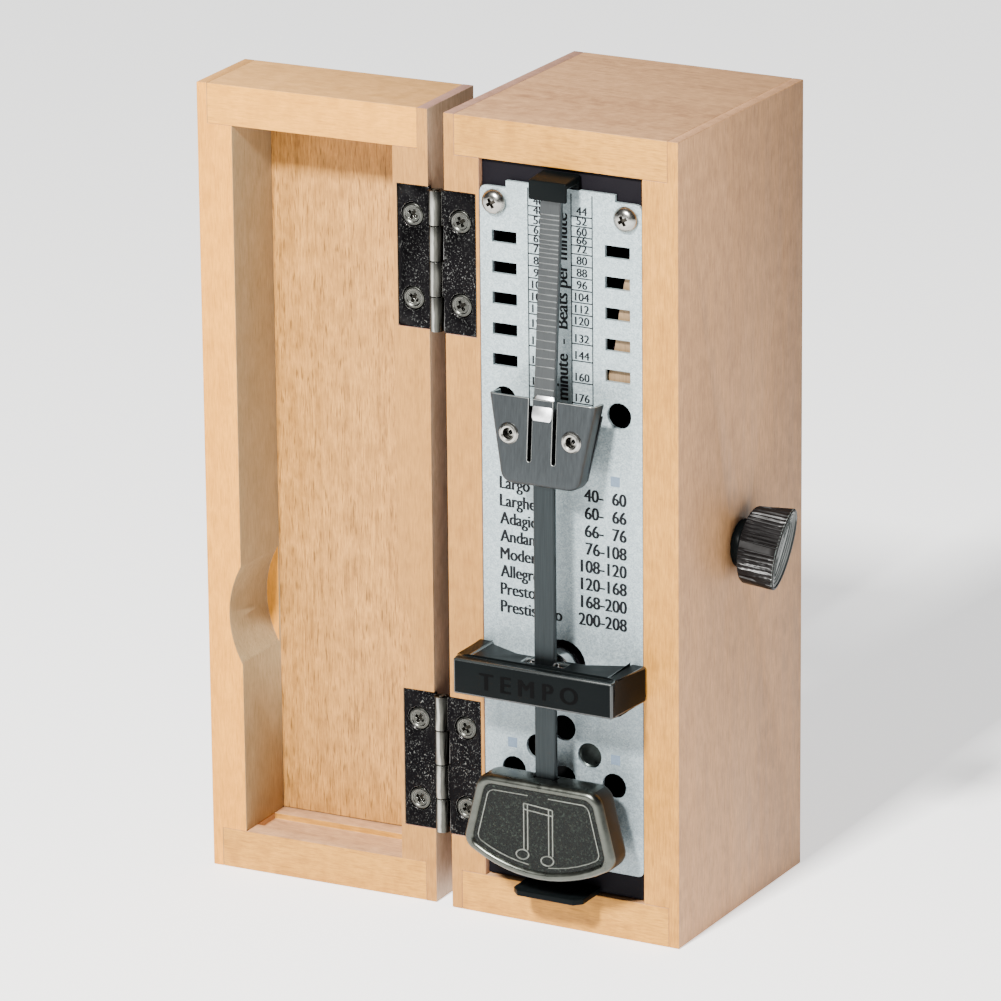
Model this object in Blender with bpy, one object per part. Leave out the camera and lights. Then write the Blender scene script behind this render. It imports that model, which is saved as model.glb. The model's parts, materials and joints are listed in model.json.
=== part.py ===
"""A small key-wound metronome in a wooden box with a hinged lid, standing open.

Frame: +Z up, the front faces -Y, the lid opens to -X and the winding key is at +X.
The origin is the middle of the case's underside. Lengths below are in millimetres
and angles in degrees; the helpers turn them into metres and radians.
"""

import bpy
import bmesh
import math
from mathutils import Matrix, Vector

MM = 0.001
GAP = 0.25                 # space left between neighbouring pieces
CLEAR = 0.3                # space round a turning piece

# Case
CASE_W, CASE_D, CASE_H = 49.5, 52.5, 160.0
BOARD = 7.3                # side boards and lid stiles
RAIL = 8.0                 # top and bottom boards
RABBET_SKIN = 2.0          # side wood left outside the ends of the top and bottom boards
BACK_T = 4.0
FRONT = -CASE_D / 2        # Y of the case's front rim
OPEN_X = CASE_W / 2 - BOARD
OPEN_LOW, OPEN_HIGH = RAIL, CASE_H - RAIL

# Lid, measured closed
LID_T = 19.3
LID_RIM_GAP = 0.4
LID_RECESS = 15.3
LID_OPEN = 178.07          # degrees from closed to the rest pose
HINGE_X = -CASE_W / 2 - 2.1
HINGE_Y = FRONT + 0.3
NOTCH_R, NOTCH_Z = 20.2, 52.9
GROOVE_NEAR, GROOVE_FAR, GROOVE_DEEP = 4.4, 11.9, 1.5

# Hinges
LEAF_H, LEAF_REACH, LEAF_T = 28.0, 8.6, 0.9
BARREL_R, PIN_R = 1.45, 0.65
KNUCKLES = 4
HINGE_LOW = {"lower": 15.2, "upper": 116.8}
SCREW_REACH, SCREW_RISE = 5.4, 8.25
SCREW_HEAD_R, SCREW_SHANK_R, SCREW_L = 2.2, 1.1, 6.5

# Chassis and scale plate
PLATE_X, PLATE_LOW, PLATE_HIGH, PLATE_T = 17.2, 13.2, 147.0, 0.8
PLATE_TAB_X, PLATE_TAB_TOP = 11.6, 148.4
SLOT_W, SLOT_H, SLOT_X, SLOT_TOP, SLOT_PITCH, SLOTS = 5.3, 2.4, 12.05, 137.3, 6.07, 5
SOUND_HOLE_R = 2.6
SOUND_HOLES = ((12.3, 105.3), (-12.3, 105.3), (0.0, 41.0), (0.0, 30.7), (5.6, 36.2), (-5.6, 36.2),
               (10.9, 30.85), (-10.9, 30.85))
PLATE_SCREW_X, PLATE_SCREW_Z = 14.0, 144.07
CHASSIS_FRONT, CHASSIS_BACK = FRONT + PLATE_T + GAP, FRONT + 7.1

# Pendulum
PIVOT_Z = 54.0
PIVOT_HOLE_R, COLLAR_R, ARBOR_R = 4.9, 3.6, 0.8
ROD_W, ROD_T = 4.4, 1.0
ROD_FRONT = FRONT - 7.7    # front face of the rod below its bend
BEND_Z, ROD_LEAN = 101.0, 0.082   # above the bend the rod leans back by this slope
ROD_TOP, ROD_BOTTOM = 149.1, 19.5
BOB_FRONT, BOB_BACK = FRONT - 11.2, FRONT - 4.4
WEIGHT_Z = 101.0           # middle of the sliding weight's eyelets, near 168 beats per minute

# Bridge over the pivot
BRIDGE_X, BRIDGE_LOW, BRIDGE_HIGH, BRIDGE_FRONT = 17.15, 49.3, 56.5, FRONT - 12.7
BRIDGE_WALL, BRIDGE_SHELF_BACK, BRIDGE_SLOT_X = 2.2, FRONT - 4.5, 4.3

# Movement: side plates square to X, arbors along X
PLATE_IN, PLATE_OUT = 13.4, 14.6
FRAME_Y, FRAME_Z = (-18.8, 17.5), (40.0, 93.5)
PILLARS = ((14.5, 43.5), (-15.8, 90.0), (14.5, 90.0))
KEY_Y, KEY_Z = -0.25, 74.5
CROWN_Y = FRONT + 18.0
GREAT_TEETH, GREAT_MODULE = 60, 0.5
SECOND_LEAVES, SECOND_TEETH, SECOND_MODULE = 10, 48, 0.4
CROWN_LEAVES, CROWN_TEETH, CROWN_R = 8, 15, 6.5
RATCHET_TEETH, RATCHET_R = 24, 5.5
PALLET_REACH = 2.1
DRUM_R, DRUM_X = 13.0, (-8.4, 7.4)
KEY_LEAN = 36.7            # degrees that the winding knob's long side leans back


def wipe():
    for thing in list(bpy.data.objects):
        bpy.data.objects.remove(thing, do_unlink=True)


def material(name, colour, rough, metal=0.0):
    made = bpy.data.materials.new(name)
    made.use_nodes = True
    shader = made.node_tree.nodes["Principled BSDF"]
    shader.inputs["Base Color"].default_value = (*colour, 1.0)
    shader.inputs["Roughness"].default_value = rough
    shader.inputs["Metallic"].default_value = metal
    return made


LOOKS = {
    "wood": ((0.63, 0.43, 0.26), 0.45, 0.0),
    "black": ((0.012, 0.012, 0.013), 0.28, 0.0),
    "plate": ((0.42, 0.45, 0.48), 0.42, 0.85),
    "nickel": ((0.62, 0.61, 0.58), 0.18, 1.0),
    "steel": ((0.42, 0.42, 0.41), 0.34, 1.0),
    "brass": ((0.72, 0.54, 0.24), 0.30, 1.0),
}


def finish(thing, look, smooth=False):
    """Gives a piece its own material, and smooths it where it is round."""
    thing.data.materials.append(material(thing.name + "_finish", *LOOKS[look]))
    if smooth:
        thing.data.shade_smooth()
        thing.data.set_sharp_from_angle(angle=math.radians(35))
    return thing


def helper(thing):
    """Marks a cutter or a shape that is joined into another piece."""
    thing.hide_render = True
    thing.display_type = "WIRE"
    return thing


def solid_from(name, rings, closed_ends=True):
    """A skin over rings of points, each ring with as many points, with its two ends filled."""
    shape = bmesh.new()
    rows = [[shape.verts.new(Vector(p) * MM) for p in ring] for ring in rings]
    count = len(rows[0])
    pairs = list(zip(rows, rows[1:])) if closed_ends else list(zip(rows, rows[1:] + rows[:1]))
    for near, far in pairs:
        for i in range(count):
            j = (i + 1) % count
            shape.faces.new((near[i], near[j], far[j], far[i]))
    if closed_ends:
        shape.faces.new(rows[0][::-1])
        shape.faces.new(rows[-1])
    bmesh.ops.recalc_face_normals(shape, faces=shape.faces)
    mesh = bpy.data.meshes.new(name)
    shape.to_mesh(mesh)
    shape.free()
    thing = bpy.data.objects.new(name, mesh)
    bpy.context.scene.collection.objects.link(thing)
    return thing


def along(axis, u, v, t):
    """The point at t along an axis, with u and v the other two coordinates in order."""
    return {"X": (t, u, v), "Y": (u, t, v), "Z": (u, v, t)}[axis]


def prism(name, axis, outline, low, high):
    return solid_from(name, [[along(axis, u, v, t) for u, v in outline] for t in (low, high)])


def block(name, x, y, z):
    return prism(name, "Z", ((x[0], y[0]), (x[1], y[0]), (x[1], y[1]), (x[0], y[1])), *z)


def circle(u, v, radius, sides):
    turn = 2 * math.pi / sides
    return [(u + radius * math.cos(i * turn), v + radius * math.sin(i * turn)) for i in range(sides)]


def rod(name, axis, centre, radius, low, high, sides=20):
    return prism(name, axis, circle(*centre, radius, sides), low, high)


def turned(name, axis, centre, profile, sides=24):
    """A turned piece: profile holds (radius, place along the axis) from one end to the other."""
    rings = [[along(axis, u, v, t) for u, v in circle(*centre, r, sides)] for r, t in profile]
    return solid_from(name, rings)


def tube(name, axis, centre, outer, inner, low, high, sides=24):
    profile = ((outer, low), (outer, high), (inner, high), (inner, low))
    rings = [[along(axis, u, v, t) for u, v in circle(*centre, r, sides)] for r, t in profile]
    return solid_from(name, rings, closed_ends=False)


def combine(thing, operation, others):
    for other in others:
        helper(other)
        step = thing.modifiers.new(operation.lower(), "BOOLEAN")
        step.operation = operation
        step.object = other
    return thing


def cut(thing, *others):
    return combine(thing, "DIFFERENCE", others)


def join(thing, *others):
    return combine(thing, "UNION", others)


def rounded_box(half_w, low, high, radius, steps=3):
    """An upright rectangle with round corners, as (x, z) points."""
    points = []
    for cx, cz, start in ((half_w - radius, high - radius, 0), (-half_w + radius, high - radius, 90),
                          (-half_w + radius, low + radius, 180), (half_w - radius, low + radius, 270)):
        for i in range(steps + 1):
            angle = math.radians(start + 90 * i / steps)
            points.append((cx + radius * math.cos(angle), cz + radius * math.sin(angle)))
    return points


def side_board(name, sign, near, far, thick_low, thick_high):
    """A full-height board with a rabbet at each end for the top and bottom boards."""
    outer, inner, skin = CASE_W / 2, OPEN_X, CASE_W / 2 - RABBET_SKIN
    outline = ((outer, 0), (skin, 0), (skin, thick_low), (inner, thick_low),
               (inner, CASE_H - thick_high), (skin, CASE_H - thick_high), (skin, CASE_H), (outer, CASE_H))
    return prism(name, "Y", [(sign * x, z) for x, z in outline], near, far)


def end_board(name, low, high, near, far):
    reach = CASE_W / 2 - RABBET_SKIN - GAP
    return block(name, (-reach, reach), (near, far), (low, high))


def leaf_pockets(tag, rim, into):
    """Cutters for the two hinge leaves and their screws, let into a rim that faces along Y."""
    cutters = []
    inner = HINGE_X + LEAF_REACH + GAP
    for level, low in HINGE_LOW.items():
        deep = sorted((rim - into, rim + into * (LEAF_T + GAP)))
        cutters.append(block(f"{tag}_{level}_pocket", (HINGE_X - 1, inner), deep,
                             (low - GAP, low + LEAF_H + GAP)))
        for rise in (-SCREW_RISE, SCREW_RISE):
            hole = sorted((rim, rim + into * (SCREW_L + 1)))
            cutters.append(rod(f"{tag}_{level}_pilot_{rise}", "Y",
                               (HINGE_X + SCREW_REACH, low + LEAF_H / 2 + rise),
                               SCREW_SHANK_R + CLEAR, *hole, sides=12))
    return cutters


def make_case():
    left = side_board("case_left_side", -1, FRONT, -FRONT, RAIL, RAIL)
    cut(left, *leaf_pockets("case", FRONT, 1))
    right = side_board("case_right_side", 1, FRONT, -FRONT, RAIL, RAIL)
    cut(right, rod("key_way", "X", (KEY_Y, KEY_Z), 3.2, OPEN_X - 1, CASE_W / 2 + 1))
    top = end_board("case_top", CASE_H - RAIL + GAP, CASE_H, FRONT, -FRONT)
    bottom = end_board("case_bottom", 0, RAIL - GAP, FRONT, -FRONT)
    back = block("case_back", (-OPEN_X + GAP, OPEN_X - GAP), (-FRONT - BACK_T, -FRONT - 0.4),
                 (RAIL + GAP / 2, CASE_H - RAIL))
    for piece in (left, right, top, bottom, back):
        finish(piece, "wood")


def screw(name, x, z, face, into):
    """A countersunk wood screw whose head is level with a face square to Y."""
    steps = ((SCREW_HEAD_R, 0.05), (SCREW_HEAD_R, 0.15), (SCREW_SHANK_R, 1.0), (SCREW_SHANK_R, 5.5),
             (0.3, SCREW_L))
    return finish(turned(name, "Y", (x, z), [(r, face + into * t) for r, t in steps], sides=14),
                  "nickel", smooth=True)


def hinge_leaf(name, low, face, into, first):
    """One leaf: a plate let into the rim, every second knuckle, and two countersunk holes."""
    plate_y = sorted((face, face + into * LEAF_T))
    leaf = block(name, (HINGE_X + BARREL_R + CLEAR + 0.05, HINGE_X + LEAF_REACH), plate_y,
                 (low, low + LEAF_H))
    pitch = LEAF_H / KNUCKLES
    for k in range(first, KNUCKLES, 2):
        span = (low + k * pitch + GAP / 2, low + (k + 1) * pitch - GAP / 2)
        knuckle = rod(f"{name}_knuckle_{k}", "Z", (HINGE_X, HINGE_Y), BARREL_R, *span, sides=16)
        web = block(f"{name}_web_{k}", (HINGE_X + 0.1, HINGE_X + BARREL_R + 1.2), plate_y,
                    (span[0] + 0.02, span[1] - 0.02))
        join(leaf, knuckle, web)
    cut(leaf, rod(f"{name}_bore", "Z", (HINGE_X, HINGE_Y), PIN_R + CLEAR, low - 1, low + LEAF_H + 1,
                  sides=12))
    for rise in (-SCREW_RISE, SCREW_RISE):
        steps = ((SCREW_HEAD_R + CLEAR, -0.2), (SCREW_HEAD_R + CLEAR, 0.15),
                 (SCREW_SHANK_R + CLEAR, 0.9), (SCREW_SHANK_R + CLEAR, 2.0))
        cut(leaf, turned(f"{name}_sink_{rise}", "Y",
                         (HINGE_X + SCREW_REACH, low + LEAF_H / 2 + rise),
                         [(r, face + into * t) for r, t in steps], sides=14))
    return finish(leaf, "nickel")


def make_case_hinges():
    for level, low in HINGE_LOW.items():
        hinge_leaf(f"{level}_hinge_case_leaf", low, FRONT, 1, 1)
        finish(rod(f"{level}_hinge_pin", "Z", (HINGE_X, HINGE_Y), PIN_R, low, low + LEAF_H, sides=12),
               "nickel", smooth=True)
        for end, rise in (("low", -SCREW_RISE), ("high", SCREW_RISE)):
            screw(f"{level}_hinge_case_screw_{end}", HINGE_X + SCREW_REACH, low + LEAF_H / 2 + rise,
                  FRONT, 1)


def open_lid(pieces):
    """Swings pieces that were made closed round the hinge axis to the rest pose."""
    axis = bpy.data.objects.new("lid_axis", None)
    axis.location = (HINGE_X * MM, HINGE_Y * MM, 0)
    bpy.context.scene.collection.objects.link(axis)
    back = Matrix.Translation((-HINGE_X * MM, -HINGE_Y * MM, 0))
    for piece in pieces:
        piece.parent = axis
        piece.matrix_parent_inverse = back
    axis.rotation_euler.z = math.radians(-LID_OPEN)


def make_lid():
    before = set(bpy.data.objects)
    rim = FRONT - LID_RIM_GAP
    face = rim - LID_T
    hinge_stile = side_board("lid_hinge_stile", -1, face, rim, RAIL, RAIL)
    cut(hinge_stile, *leaf_pockets("lid", rim, -1))
    free_stile = side_board("lid_free_stile", 1, face, rim, RAIL, RAIL)
    for stile in (hinge_stile, free_stile):
        cut(stile, rod(f"{stile.name}_notch", "Y", (0, NOTCH_Z), NOTCH_R, rim - LID_RECESS, rim + 1,
                       sides=64))
    top = end_board("lid_top_rail", CASE_H - RAIL + GAP, CASE_H, face, rim)
    bottom = end_board("lid_bottom_rail", 0, RAIL - GAP, face, rim)
    cut(bottom, block("lid_groove", (-OPEN_X, OPEN_X), (rim - GROOVE_FAR, rim - GROOVE_NEAR),
                      (RAIL - GROOVE_DEEP, RAIL + 1)))
    panel = block("lid_panel", (-OPEN_X + GAP, OPEN_X - GAP), (face + 0.3, rim - LID_RECESS - GAP),
                  (RAIL + GAP / 2, CASE_H - RAIL))
    for piece in (hinge_stile, free_stile, top, bottom, panel):
        finish(piece, "wood")
    for level, low in HINGE_LOW.items():
        hinge_leaf(f"{level}_hinge_lid_leaf", low, rim, -1, 0)
        for end, rise in (("low", -SCREW_RISE), ("high", SCREW_RISE)):
            screw(f"{level}_hinge_lid_screw_{end}", HINGE_X + SCREW_REACH, low + LEAF_H / 2 + rise,
                  rim, -1)
    open_lid(set(bpy.data.objects) - before)


def make_chassis():
    """The black frame behind the scale plate, which carries the plate, bridge and movement."""
    side, low, high = OPEN_X - GAP, OPEN_LOW + GAP, OPEN_HIGH - GAP
    frame = block("chassis_frame", (-side, side), (CHASSIS_FRONT, CHASSIS_BACK), (low, high))
    deep = (CHASSIS_FRONT - 1, CHASSIS_BACK + 1)
    cut(frame,
        block("upper_window", (-14.6, 14.6), deep, (62, 140)),
        block("lower_window", (-14.6, 14.6), deep, (16, 48)),
        rod("arbor_way", "Y", (0, PIVOT_Z), 4.3, *deep))
    for sign in (-1, 1):
        cut(frame, rod(f"plate_pilot_{sign}", "Y", (sign * PLATE_SCREW_X, PLATE_SCREW_Z), 1.4, *deep,
                       sides=12))
    finish(frame, "black")
    bearing = tube("front_bearing", "Y", (0, PIVOT_Z), 4.0, ARBOR_R + CLEAR, CHASSIS_FRONT + 2.2,
                   CHASSIS_BACK + 1.0)
    finish(bearing, "brass", smooth=True)
    half = 7.6
    nose = ((-half, FRONT + 0.4), (-half, FRONT - 6.7), (-half + 1.5, FRONT - 8.2),
            (half - 1.5, FRONT - 8.2), (half, FRONT - 6.7), (half, FRONT + 0.4))
    finish(prism("latch_tongue", "Z", nose, RAIL + GAP, RAIL + GAP + 1.2), "black")


def make_plate():
    outline = rounded_box(PLATE_X, PLATE_LOW, PLATE_HIGH, 1.2)
    plate = prism("scale_plate", "Y", outline, FRONT, FRONT + PLATE_T)
    join(plate, block("plate_tab", (-PLATE_TAB_X, PLATE_TAB_X), (FRONT + 0.01, FRONT + PLATE_T - 0.01),
                      (PLATE_HIGH - 2, PLATE_TAB_TOP)))
    deep = (FRONT - 1, FRONT + PLATE_T + 1)
    for sign in (-1, 1):
        for k in range(SLOTS):
            z = SLOT_TOP - k * SLOT_PITCH
            x = sign * SLOT_X
            cut(plate, block(f"slot_{sign}_{k}", (x - SLOT_W / 2, x + SLOT_W / 2), deep,
                             (z - SLOT_H / 2, z + SLOT_H / 2)))
        cut(plate, rod(f"screw_way_{sign}", "Y", (sign * PLATE_SCREW_X, PLATE_SCREW_Z), 1.4, *deep,
                       sides=12))
    for i, spot in enumerate(SOUND_HOLES):
        cut(plate, rod(f"sound_hole_{i}", "Y", spot, SOUND_HOLE_R, *deep, sides=16))
    cut(plate, rod("pivot_way", "Y", (0, PIVOT_Z), PIVOT_HOLE_R, *deep, sides=28))
    finish(plate, "plate")
    for tag, sign in (("left", -1), ("right", 1)):
        steps = ((1.5, -1.7), (2.4, -1.1), (2.5, -GAP), (1.1, -GAP), (1.1, 6.0))
        profile = [(r, FRONT + t) for r, t in steps]
        finish(turned(f"plate_screw_{tag}", "Y", (sign * PLATE_SCREW_X, PLATE_SCREW_Z), profile,
                      sides=16), "nickel", smooth=True)


def make_holder():
    """The clip at the top centre that the parked rod stands behind."""
    outline = ((FRONT - 5.3, 147.0), (FRONT - 4.5, 147.0), (FRONT - 4.5, 149.6), (FRONT - GAP, 149.6),
               (FRONT - GAP, 148.7), (FRONT + 0.75, 148.7), (FRONT + 0.75, 151.4), (FRONT - 5.3, 150.8))
    clip = prism("pendulum_holder", "X", outline, -4.0, 4.0)
    finish(clip, "black")


def make_bridge():
    """The black guard over the pivot: a front wall, two arms back to the plate and a top shelf."""
    wall_back = BRIDGE_FRONT + BRIDGE_WALL
    bridge = block("pivot_bridge", (-BRIDGE_X, BRIDGE_X), (BRIDGE_FRONT, wall_back),
                   (BRIDGE_LOW, BRIDGE_HIGH))
    for sign in (-1, 1):
        arm = ((sign * 14.9, wall_back - 1), (sign * BRIDGE_X, wall_back - 1),
               (sign * (BRIDGE_X + 0.9), FRONT - 1.2), (sign * (BRIDGE_X + 0.9), FRONT - GAP),
               (sign * 14.9, FRONT - GAP))
        join(bridge, prism(f"arm_{sign}", "Z", arm, BRIDGE_LOW + 0.02, BRIDGE_HIGH - 0.02))
    half = [(BRIDGE_X - 1, wall_back - 1), (BRIDGE_X - 1, FRONT - 1), (BRIDGE_X - 1.6, FRONT - 1),
            (7.4, BRIDGE_SHELF_BACK)]
    shelf = half + [(-x, y) for x, y in reversed(half)]
    join(bridge, prism("bridge_shelf", "Z", shelf, BRIDGE_HIGH - 1.25, BRIDGE_HIGH - 0.05))
    cut(bridge, block("rod_slot", (-BRIDGE_SLOT_X, BRIDGE_SLOT_X),
                      (ROD_FRONT - 0.5, ROD_FRONT + ROD_T + 0.6), (BRIDGE_HIGH - 3, BRIDGE_HIGH + 1)))
    cut(bridge, rod("bridge_bearing", "Y", (0, PIVOT_Z), ARBOR_R + CLEAR, wall_back - 1.3,
                    wall_back + 1, sides=16))
    finish(bridge, "black")


def make_pendulum():
    collar = tube("pivot_collar", "Y", (0, PIVOT_Z), COLLAR_R, ARBOR_R + GAP, BRIDGE_SHELF_BACK + CLEAR,
                  FRONT + 2.6)
    finish(collar, "steel", smooth=True)
    verge = rod("verge_arbor", "Y", (0, PIVOT_Z), ARBOR_R, BRIDGE_FRONT + BRIDGE_WALL - 0.9,
                CROWN_Y + 10.6, sides=16)
    for tag, y, lean in (("front", CROWN_Y - CROWN_R, 45), ("rear", CROWN_Y + CROWN_R, -45)):
        tilt = math.radians(lean)
        near, far, half = 0.4, PALLET_REACH, 0.25
        corners = ((near, -half), (far, -half), (far, half), (near, half))
        flag = [(u * math.cos(tilt) - v * math.sin(tilt),
                 PIVOT_Z + u * math.sin(tilt) + v * math.cos(tilt)) for u, v in corners]
        join(verge, prism(f"{tag}_pallet", "Y", flag, y - 0.9, y + 0.9))
    finish(verge, "steel")

    lean_top = ROD_FRONT + ROD_LEAN * (ROD_TOP - BEND_Z)
    strip = ((ROD_FRONT, ROD_BOTTOM), (ROD_FRONT + ROD_T, ROD_BOTTOM), (ROD_FRONT + ROD_T, BEND_Z),
             (lean_top + ROD_T, ROD_TOP), (lean_top, ROD_TOP), (ROD_FRONT, BEND_Z))
    stem = prism("pendulum_rod", "X", strip, -ROD_W / 2, ROD_W / 2)
    cut(stem, rod("rod_eye", "Y", (0, PIVOT_Z), ARBOR_R + GAP, ROD_FRONT - 1, ROD_FRONT + 3, sides=16))
    finish(stem, "steel")


def bob_outline(inset=0.0):
    """The weight's face: a trapezoid, wider below, with a round underside and round corners."""
    half_low, half_high, low_z, high_z, sag = 15.9, 12.4, 18.6, 33.6, 5.3
    points = []
    for i in range(9):
        share = i / 4 - 1
        points.append((share * (half_low - 1.2 - inset), low_z - sag * (1 - share * share) + inset))
    points += [(half_low - 0.2 - inset, low_z + 1.6), (half_low - 0.5 - inset, low_z + 3.2),
               (half_high - inset + 0.2, high_z - 1.4 - inset), (half_high - 1.6 - inset, high_z - inset),
               (-half_high + 1.6 + inset, high_z - inset), (-half_high + inset - 0.2, high_z - 1.4 - inset),
               (-half_low + 0.5 + inset, low_z + 3.2), (-half_low + 0.2 + inset, low_z + 1.6)]
    return points


def make_bob():
    edge = 1.0
    steps = ((edge, BOB_FRONT), (0.0, BOB_FRONT + edge), (0.0, BOB_BACK - edge), (edge, BOB_BACK))
    bob = solid_from("pendulum_bob", [[(x, y, z) for x, z in bob_outline(inset)] for inset, y in steps])
    cut(bob, block("bob_slot", (-ROD_W / 2 - CLEAR, ROD_W / 2 + CLEAR),
                   (ROD_FRONT - CLEAR, ROD_FRONT + ROD_T + CLEAR), (ROD_BOTTOM - CLEAR, 40)))
    finish(bob, "nickel")


def make_weight():
    """The sliding weight, made upright along the rod and leant with it about the rod's bend."""
    middle = WEIGHT_Z - BEND_Z
    low, high = middle - 9.0, middle + 7.1
    front = ((-7.2, low), (7.2, low), (8.7, low + 1.6), (11.5, high), (-11.5, high), (-8.7, low + 1.6))
    plate = prism("weight_front_plate", "Y", front, -1.75, -0.35)
    rear = prism("weight_back_plate", "Y", [(x * 0.97, max(low + 1.5, min(z, high - 1.5))) for x, z in front],
                 ROD_T + 1.5, ROD_T + 2.0)
    pieces = [plate, rear]
    for sign in (-1, 1):
        cut(plate, block(f"weight_slot_{sign}", (sign * 2.6 - 0.45, sign * 2.6 + 0.45), (-3, 1),
                         (middle - 4.4, high + 1)))
        for holder in (plate, rear):
            cut(holder, rod(f"{holder.name}_eye_{sign}", "Y", (sign * 6.7, middle), 1.75, -3, 5,
                            sides=16))
    for tag, sign in (("left", -1), ("right", 1)):
        steps = ((2.1, -2.3), (2.1, -2.0), (1.5, -2.0), (1.5, ROD_T + 2.35), (1.0, ROD_T + 2.35), (1.0, -2.3))
        rings = [[along("Y", u, v, t) for u, v in circle(sign * 6.7, middle, r, 16)] for r, t in steps]
        pieces.append(solid_from(f"weight_eyelet_{tag}", rings, closed_ends=False))
    for piece in pieces:
        finish(piece, "steel", smooth=piece.name.startswith("weight_eyelet"))
    lean = bpy.data.objects.new("weight_axis", None)
    bpy.context.scene.collection.objects.link(lean)
    lean.location = (0, ROD_FRONT * MM, BEND_Z * MM)
    lean.rotation_euler.x = -math.atan(ROD_LEAN)
    for thing in bpy.data.objects:
        if thing.name.startswith("weight_") and thing is not lean:
            thing.parent = lean


def gear_outline(teeth, module, centre, first, height=0.85, depth=1.2, thin=0.22):
    """Involute teeth as (u, v) points; first is the direction of a tooth's middle, in radians."""
    pitch_r = teeth * module / 2
    base_r = pitch_r * math.cos(math.radians(20))
    tip_r, root_r = pitch_r + height * module, pitch_r - depth * module
    half = math.pi / (2 * teeth) - thin * module / (2 * pitch_r)
    at_pitch = math.tan(math.acos(base_r / pitch_r)) - math.acos(base_r / pitch_r)
    start_r = max(base_r, root_r)
    flank = [root_r] + [start_r + (tip_r - start_r) * k / 2 for k in range(3)]
    points = []
    for tooth in range(teeth):
        middle = first + 2 * math.pi * tooth / teeth
        side = []
        for radius in flank:
            r = max(radius, base_r + 1e-6)
            spread = half + at_pitch - (math.tan(math.acos(base_r / r)) - math.acos(base_r / r))
            side.append((radius, spread))
        for radius, spread in side:
            points.append((radius, middle - spread))
        for radius, spread in reversed(side):
            points.append((radius, middle + spread))
    return [(centre[0] + r * math.cos(a), centre[1] + r * math.sin(a)) for r, a in points]


def meet(centre_a, reach_a, centre_b, reach_b):
    """Where circles about two centres cross, on the side further back."""
    du, dv = centre_b[0] - centre_a[0], centre_b[1] - centre_a[1]
    span = math.hypot(du, dv)
    on = (reach_a ** 2 - reach_b ** 2 + span ** 2) / (2 * span)
    off = math.sqrt(reach_a ** 2 - on ** 2)
    return (centre_a[0] + (on * du - off * dv) / span, centre_a[1] + (on * dv + off * du) / span)


def heading(start, end):
    return math.atan2(end[1] - start[1], end[0] - start[0])


KEY = (KEY_Y, KEY_Z)
CROWN = (CROWN_Y, PIVOT_Z)
SECOND = meet(KEY, (GREAT_TEETH + SECOND_LEAVES) * GREAT_MODULE / 2,
              CROWN, (SECOND_TEETH + CROWN_LEAVES) * SECOND_MODULE / 2)
CLICK = (KEY_Y + 2.0, KEY_Z + 9.0)


def make_frame_plates():
    for tag, sign in (("left", -1), ("right", 1)):
        low, high = sorted((sign * PLATE_IN, sign * PLATE_OUT))
        outline = ((FRAME_Y[0], FRAME_Z[0]), (FRAME_Y[1], FRAME_Z[0]), (FRAME_Y[1], FRAME_Z[1]),
                   (FRAME_Y[0], FRAME_Z[1]))
        plate = prism(f"movement_{tag}_plate", "X", outline, low, high)
        for hole, radius in ((KEY, 1.6), (SECOND, 0.8), (CROWN, 0.8)):
            if hole is CROWN and sign < 0:
                continue
            cut(plate, rod(f"{tag}_pivot_{hole[0]:.1f}", "X", hole, radius + CLEAR, low - 1, high + 1,
                           sides=16))
        if sign > 0:
            cut(plate, rod("click_way", "X", CLICK, 0.8, low - 1, high + 1, sides=12))
        finish(plate, "brass")
    for i, spot in enumerate(PILLARS):
        pillar = rod(f"movement_pillar_{i + 1}", "X", spot, 1.8, -PLATE_IN + GAP, PLATE_IN - GAP,
                     sides=12)
        finish(pillar, "brass", smooth=True)


def make_winding():
    arbor = rod("winding_arbor", "X", KEY, 1.6, -PLATE_OUT - 0.6, 32.0, sides=16)
    finish(arbor, "steel", smooth=True)
    points = []
    for tooth in range(RATCHET_TEETH):
        start = 2 * math.pi * tooth / RATCHET_TEETH
        for radius, turn in ((RATCHET_R, 0.0), (RATCHET_R - 0.8, 0.04)):
            points.append((KEY_Y + radius * math.cos(start + turn), KEY_Z + radius * math.sin(start + turn)))
    wheel = prism("ratchet_wheel", "X", points, PLATE_OUT + 0.5, PLATE_OUT + 1.6)
    cut(wheel, rod("ratchet_bore", "X", KEY, 1.6 + GAP, PLATE_OUT, PLATE_OUT + 3, sides=16))
    finish(wheel, "steel")

    side = CASE_W / 2
    hub = tube("key_hub", "X", KEY, 4.8, 1.6 + GAP, side + GAP, side + 2.0)
    finish(hub, "black", smooth=True)
    rings = [knob_ring(x, share) for x, share in
             ((side + 2.3, 0.0), (side + 5.9, 0.5), (side + 9.6, 1.0))]
    knob = solid_from("key_knob", rings)
    cut(knob, rod("knob_bore", "X", KEY, 1.6 + GAP, side + 1, 32.0 + CLEAR, sides=16))
    finish(knob, "black", smooth=True)


def knob_ring(x, share, sides=28):
    """The knob's section: an oval near the case that narrows to a lens at its outer face."""
    long_r, short_r = 7.7 + 0.65 * share, 5.8 - 2.5 * share
    lean = math.radians(90 - KEY_LEAN)
    ring = []
    for i in range(sides):
        turn = 2 * math.pi * i / sides
        u, v = long_r * math.cos(turn), short_r * math.sin(turn)
        ring.append((x, KEY_Y + u * math.cos(lean) - v * math.sin(lean),
                     KEY_Z + u * math.sin(lean) + v * math.cos(lean)))
    return ring


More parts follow.
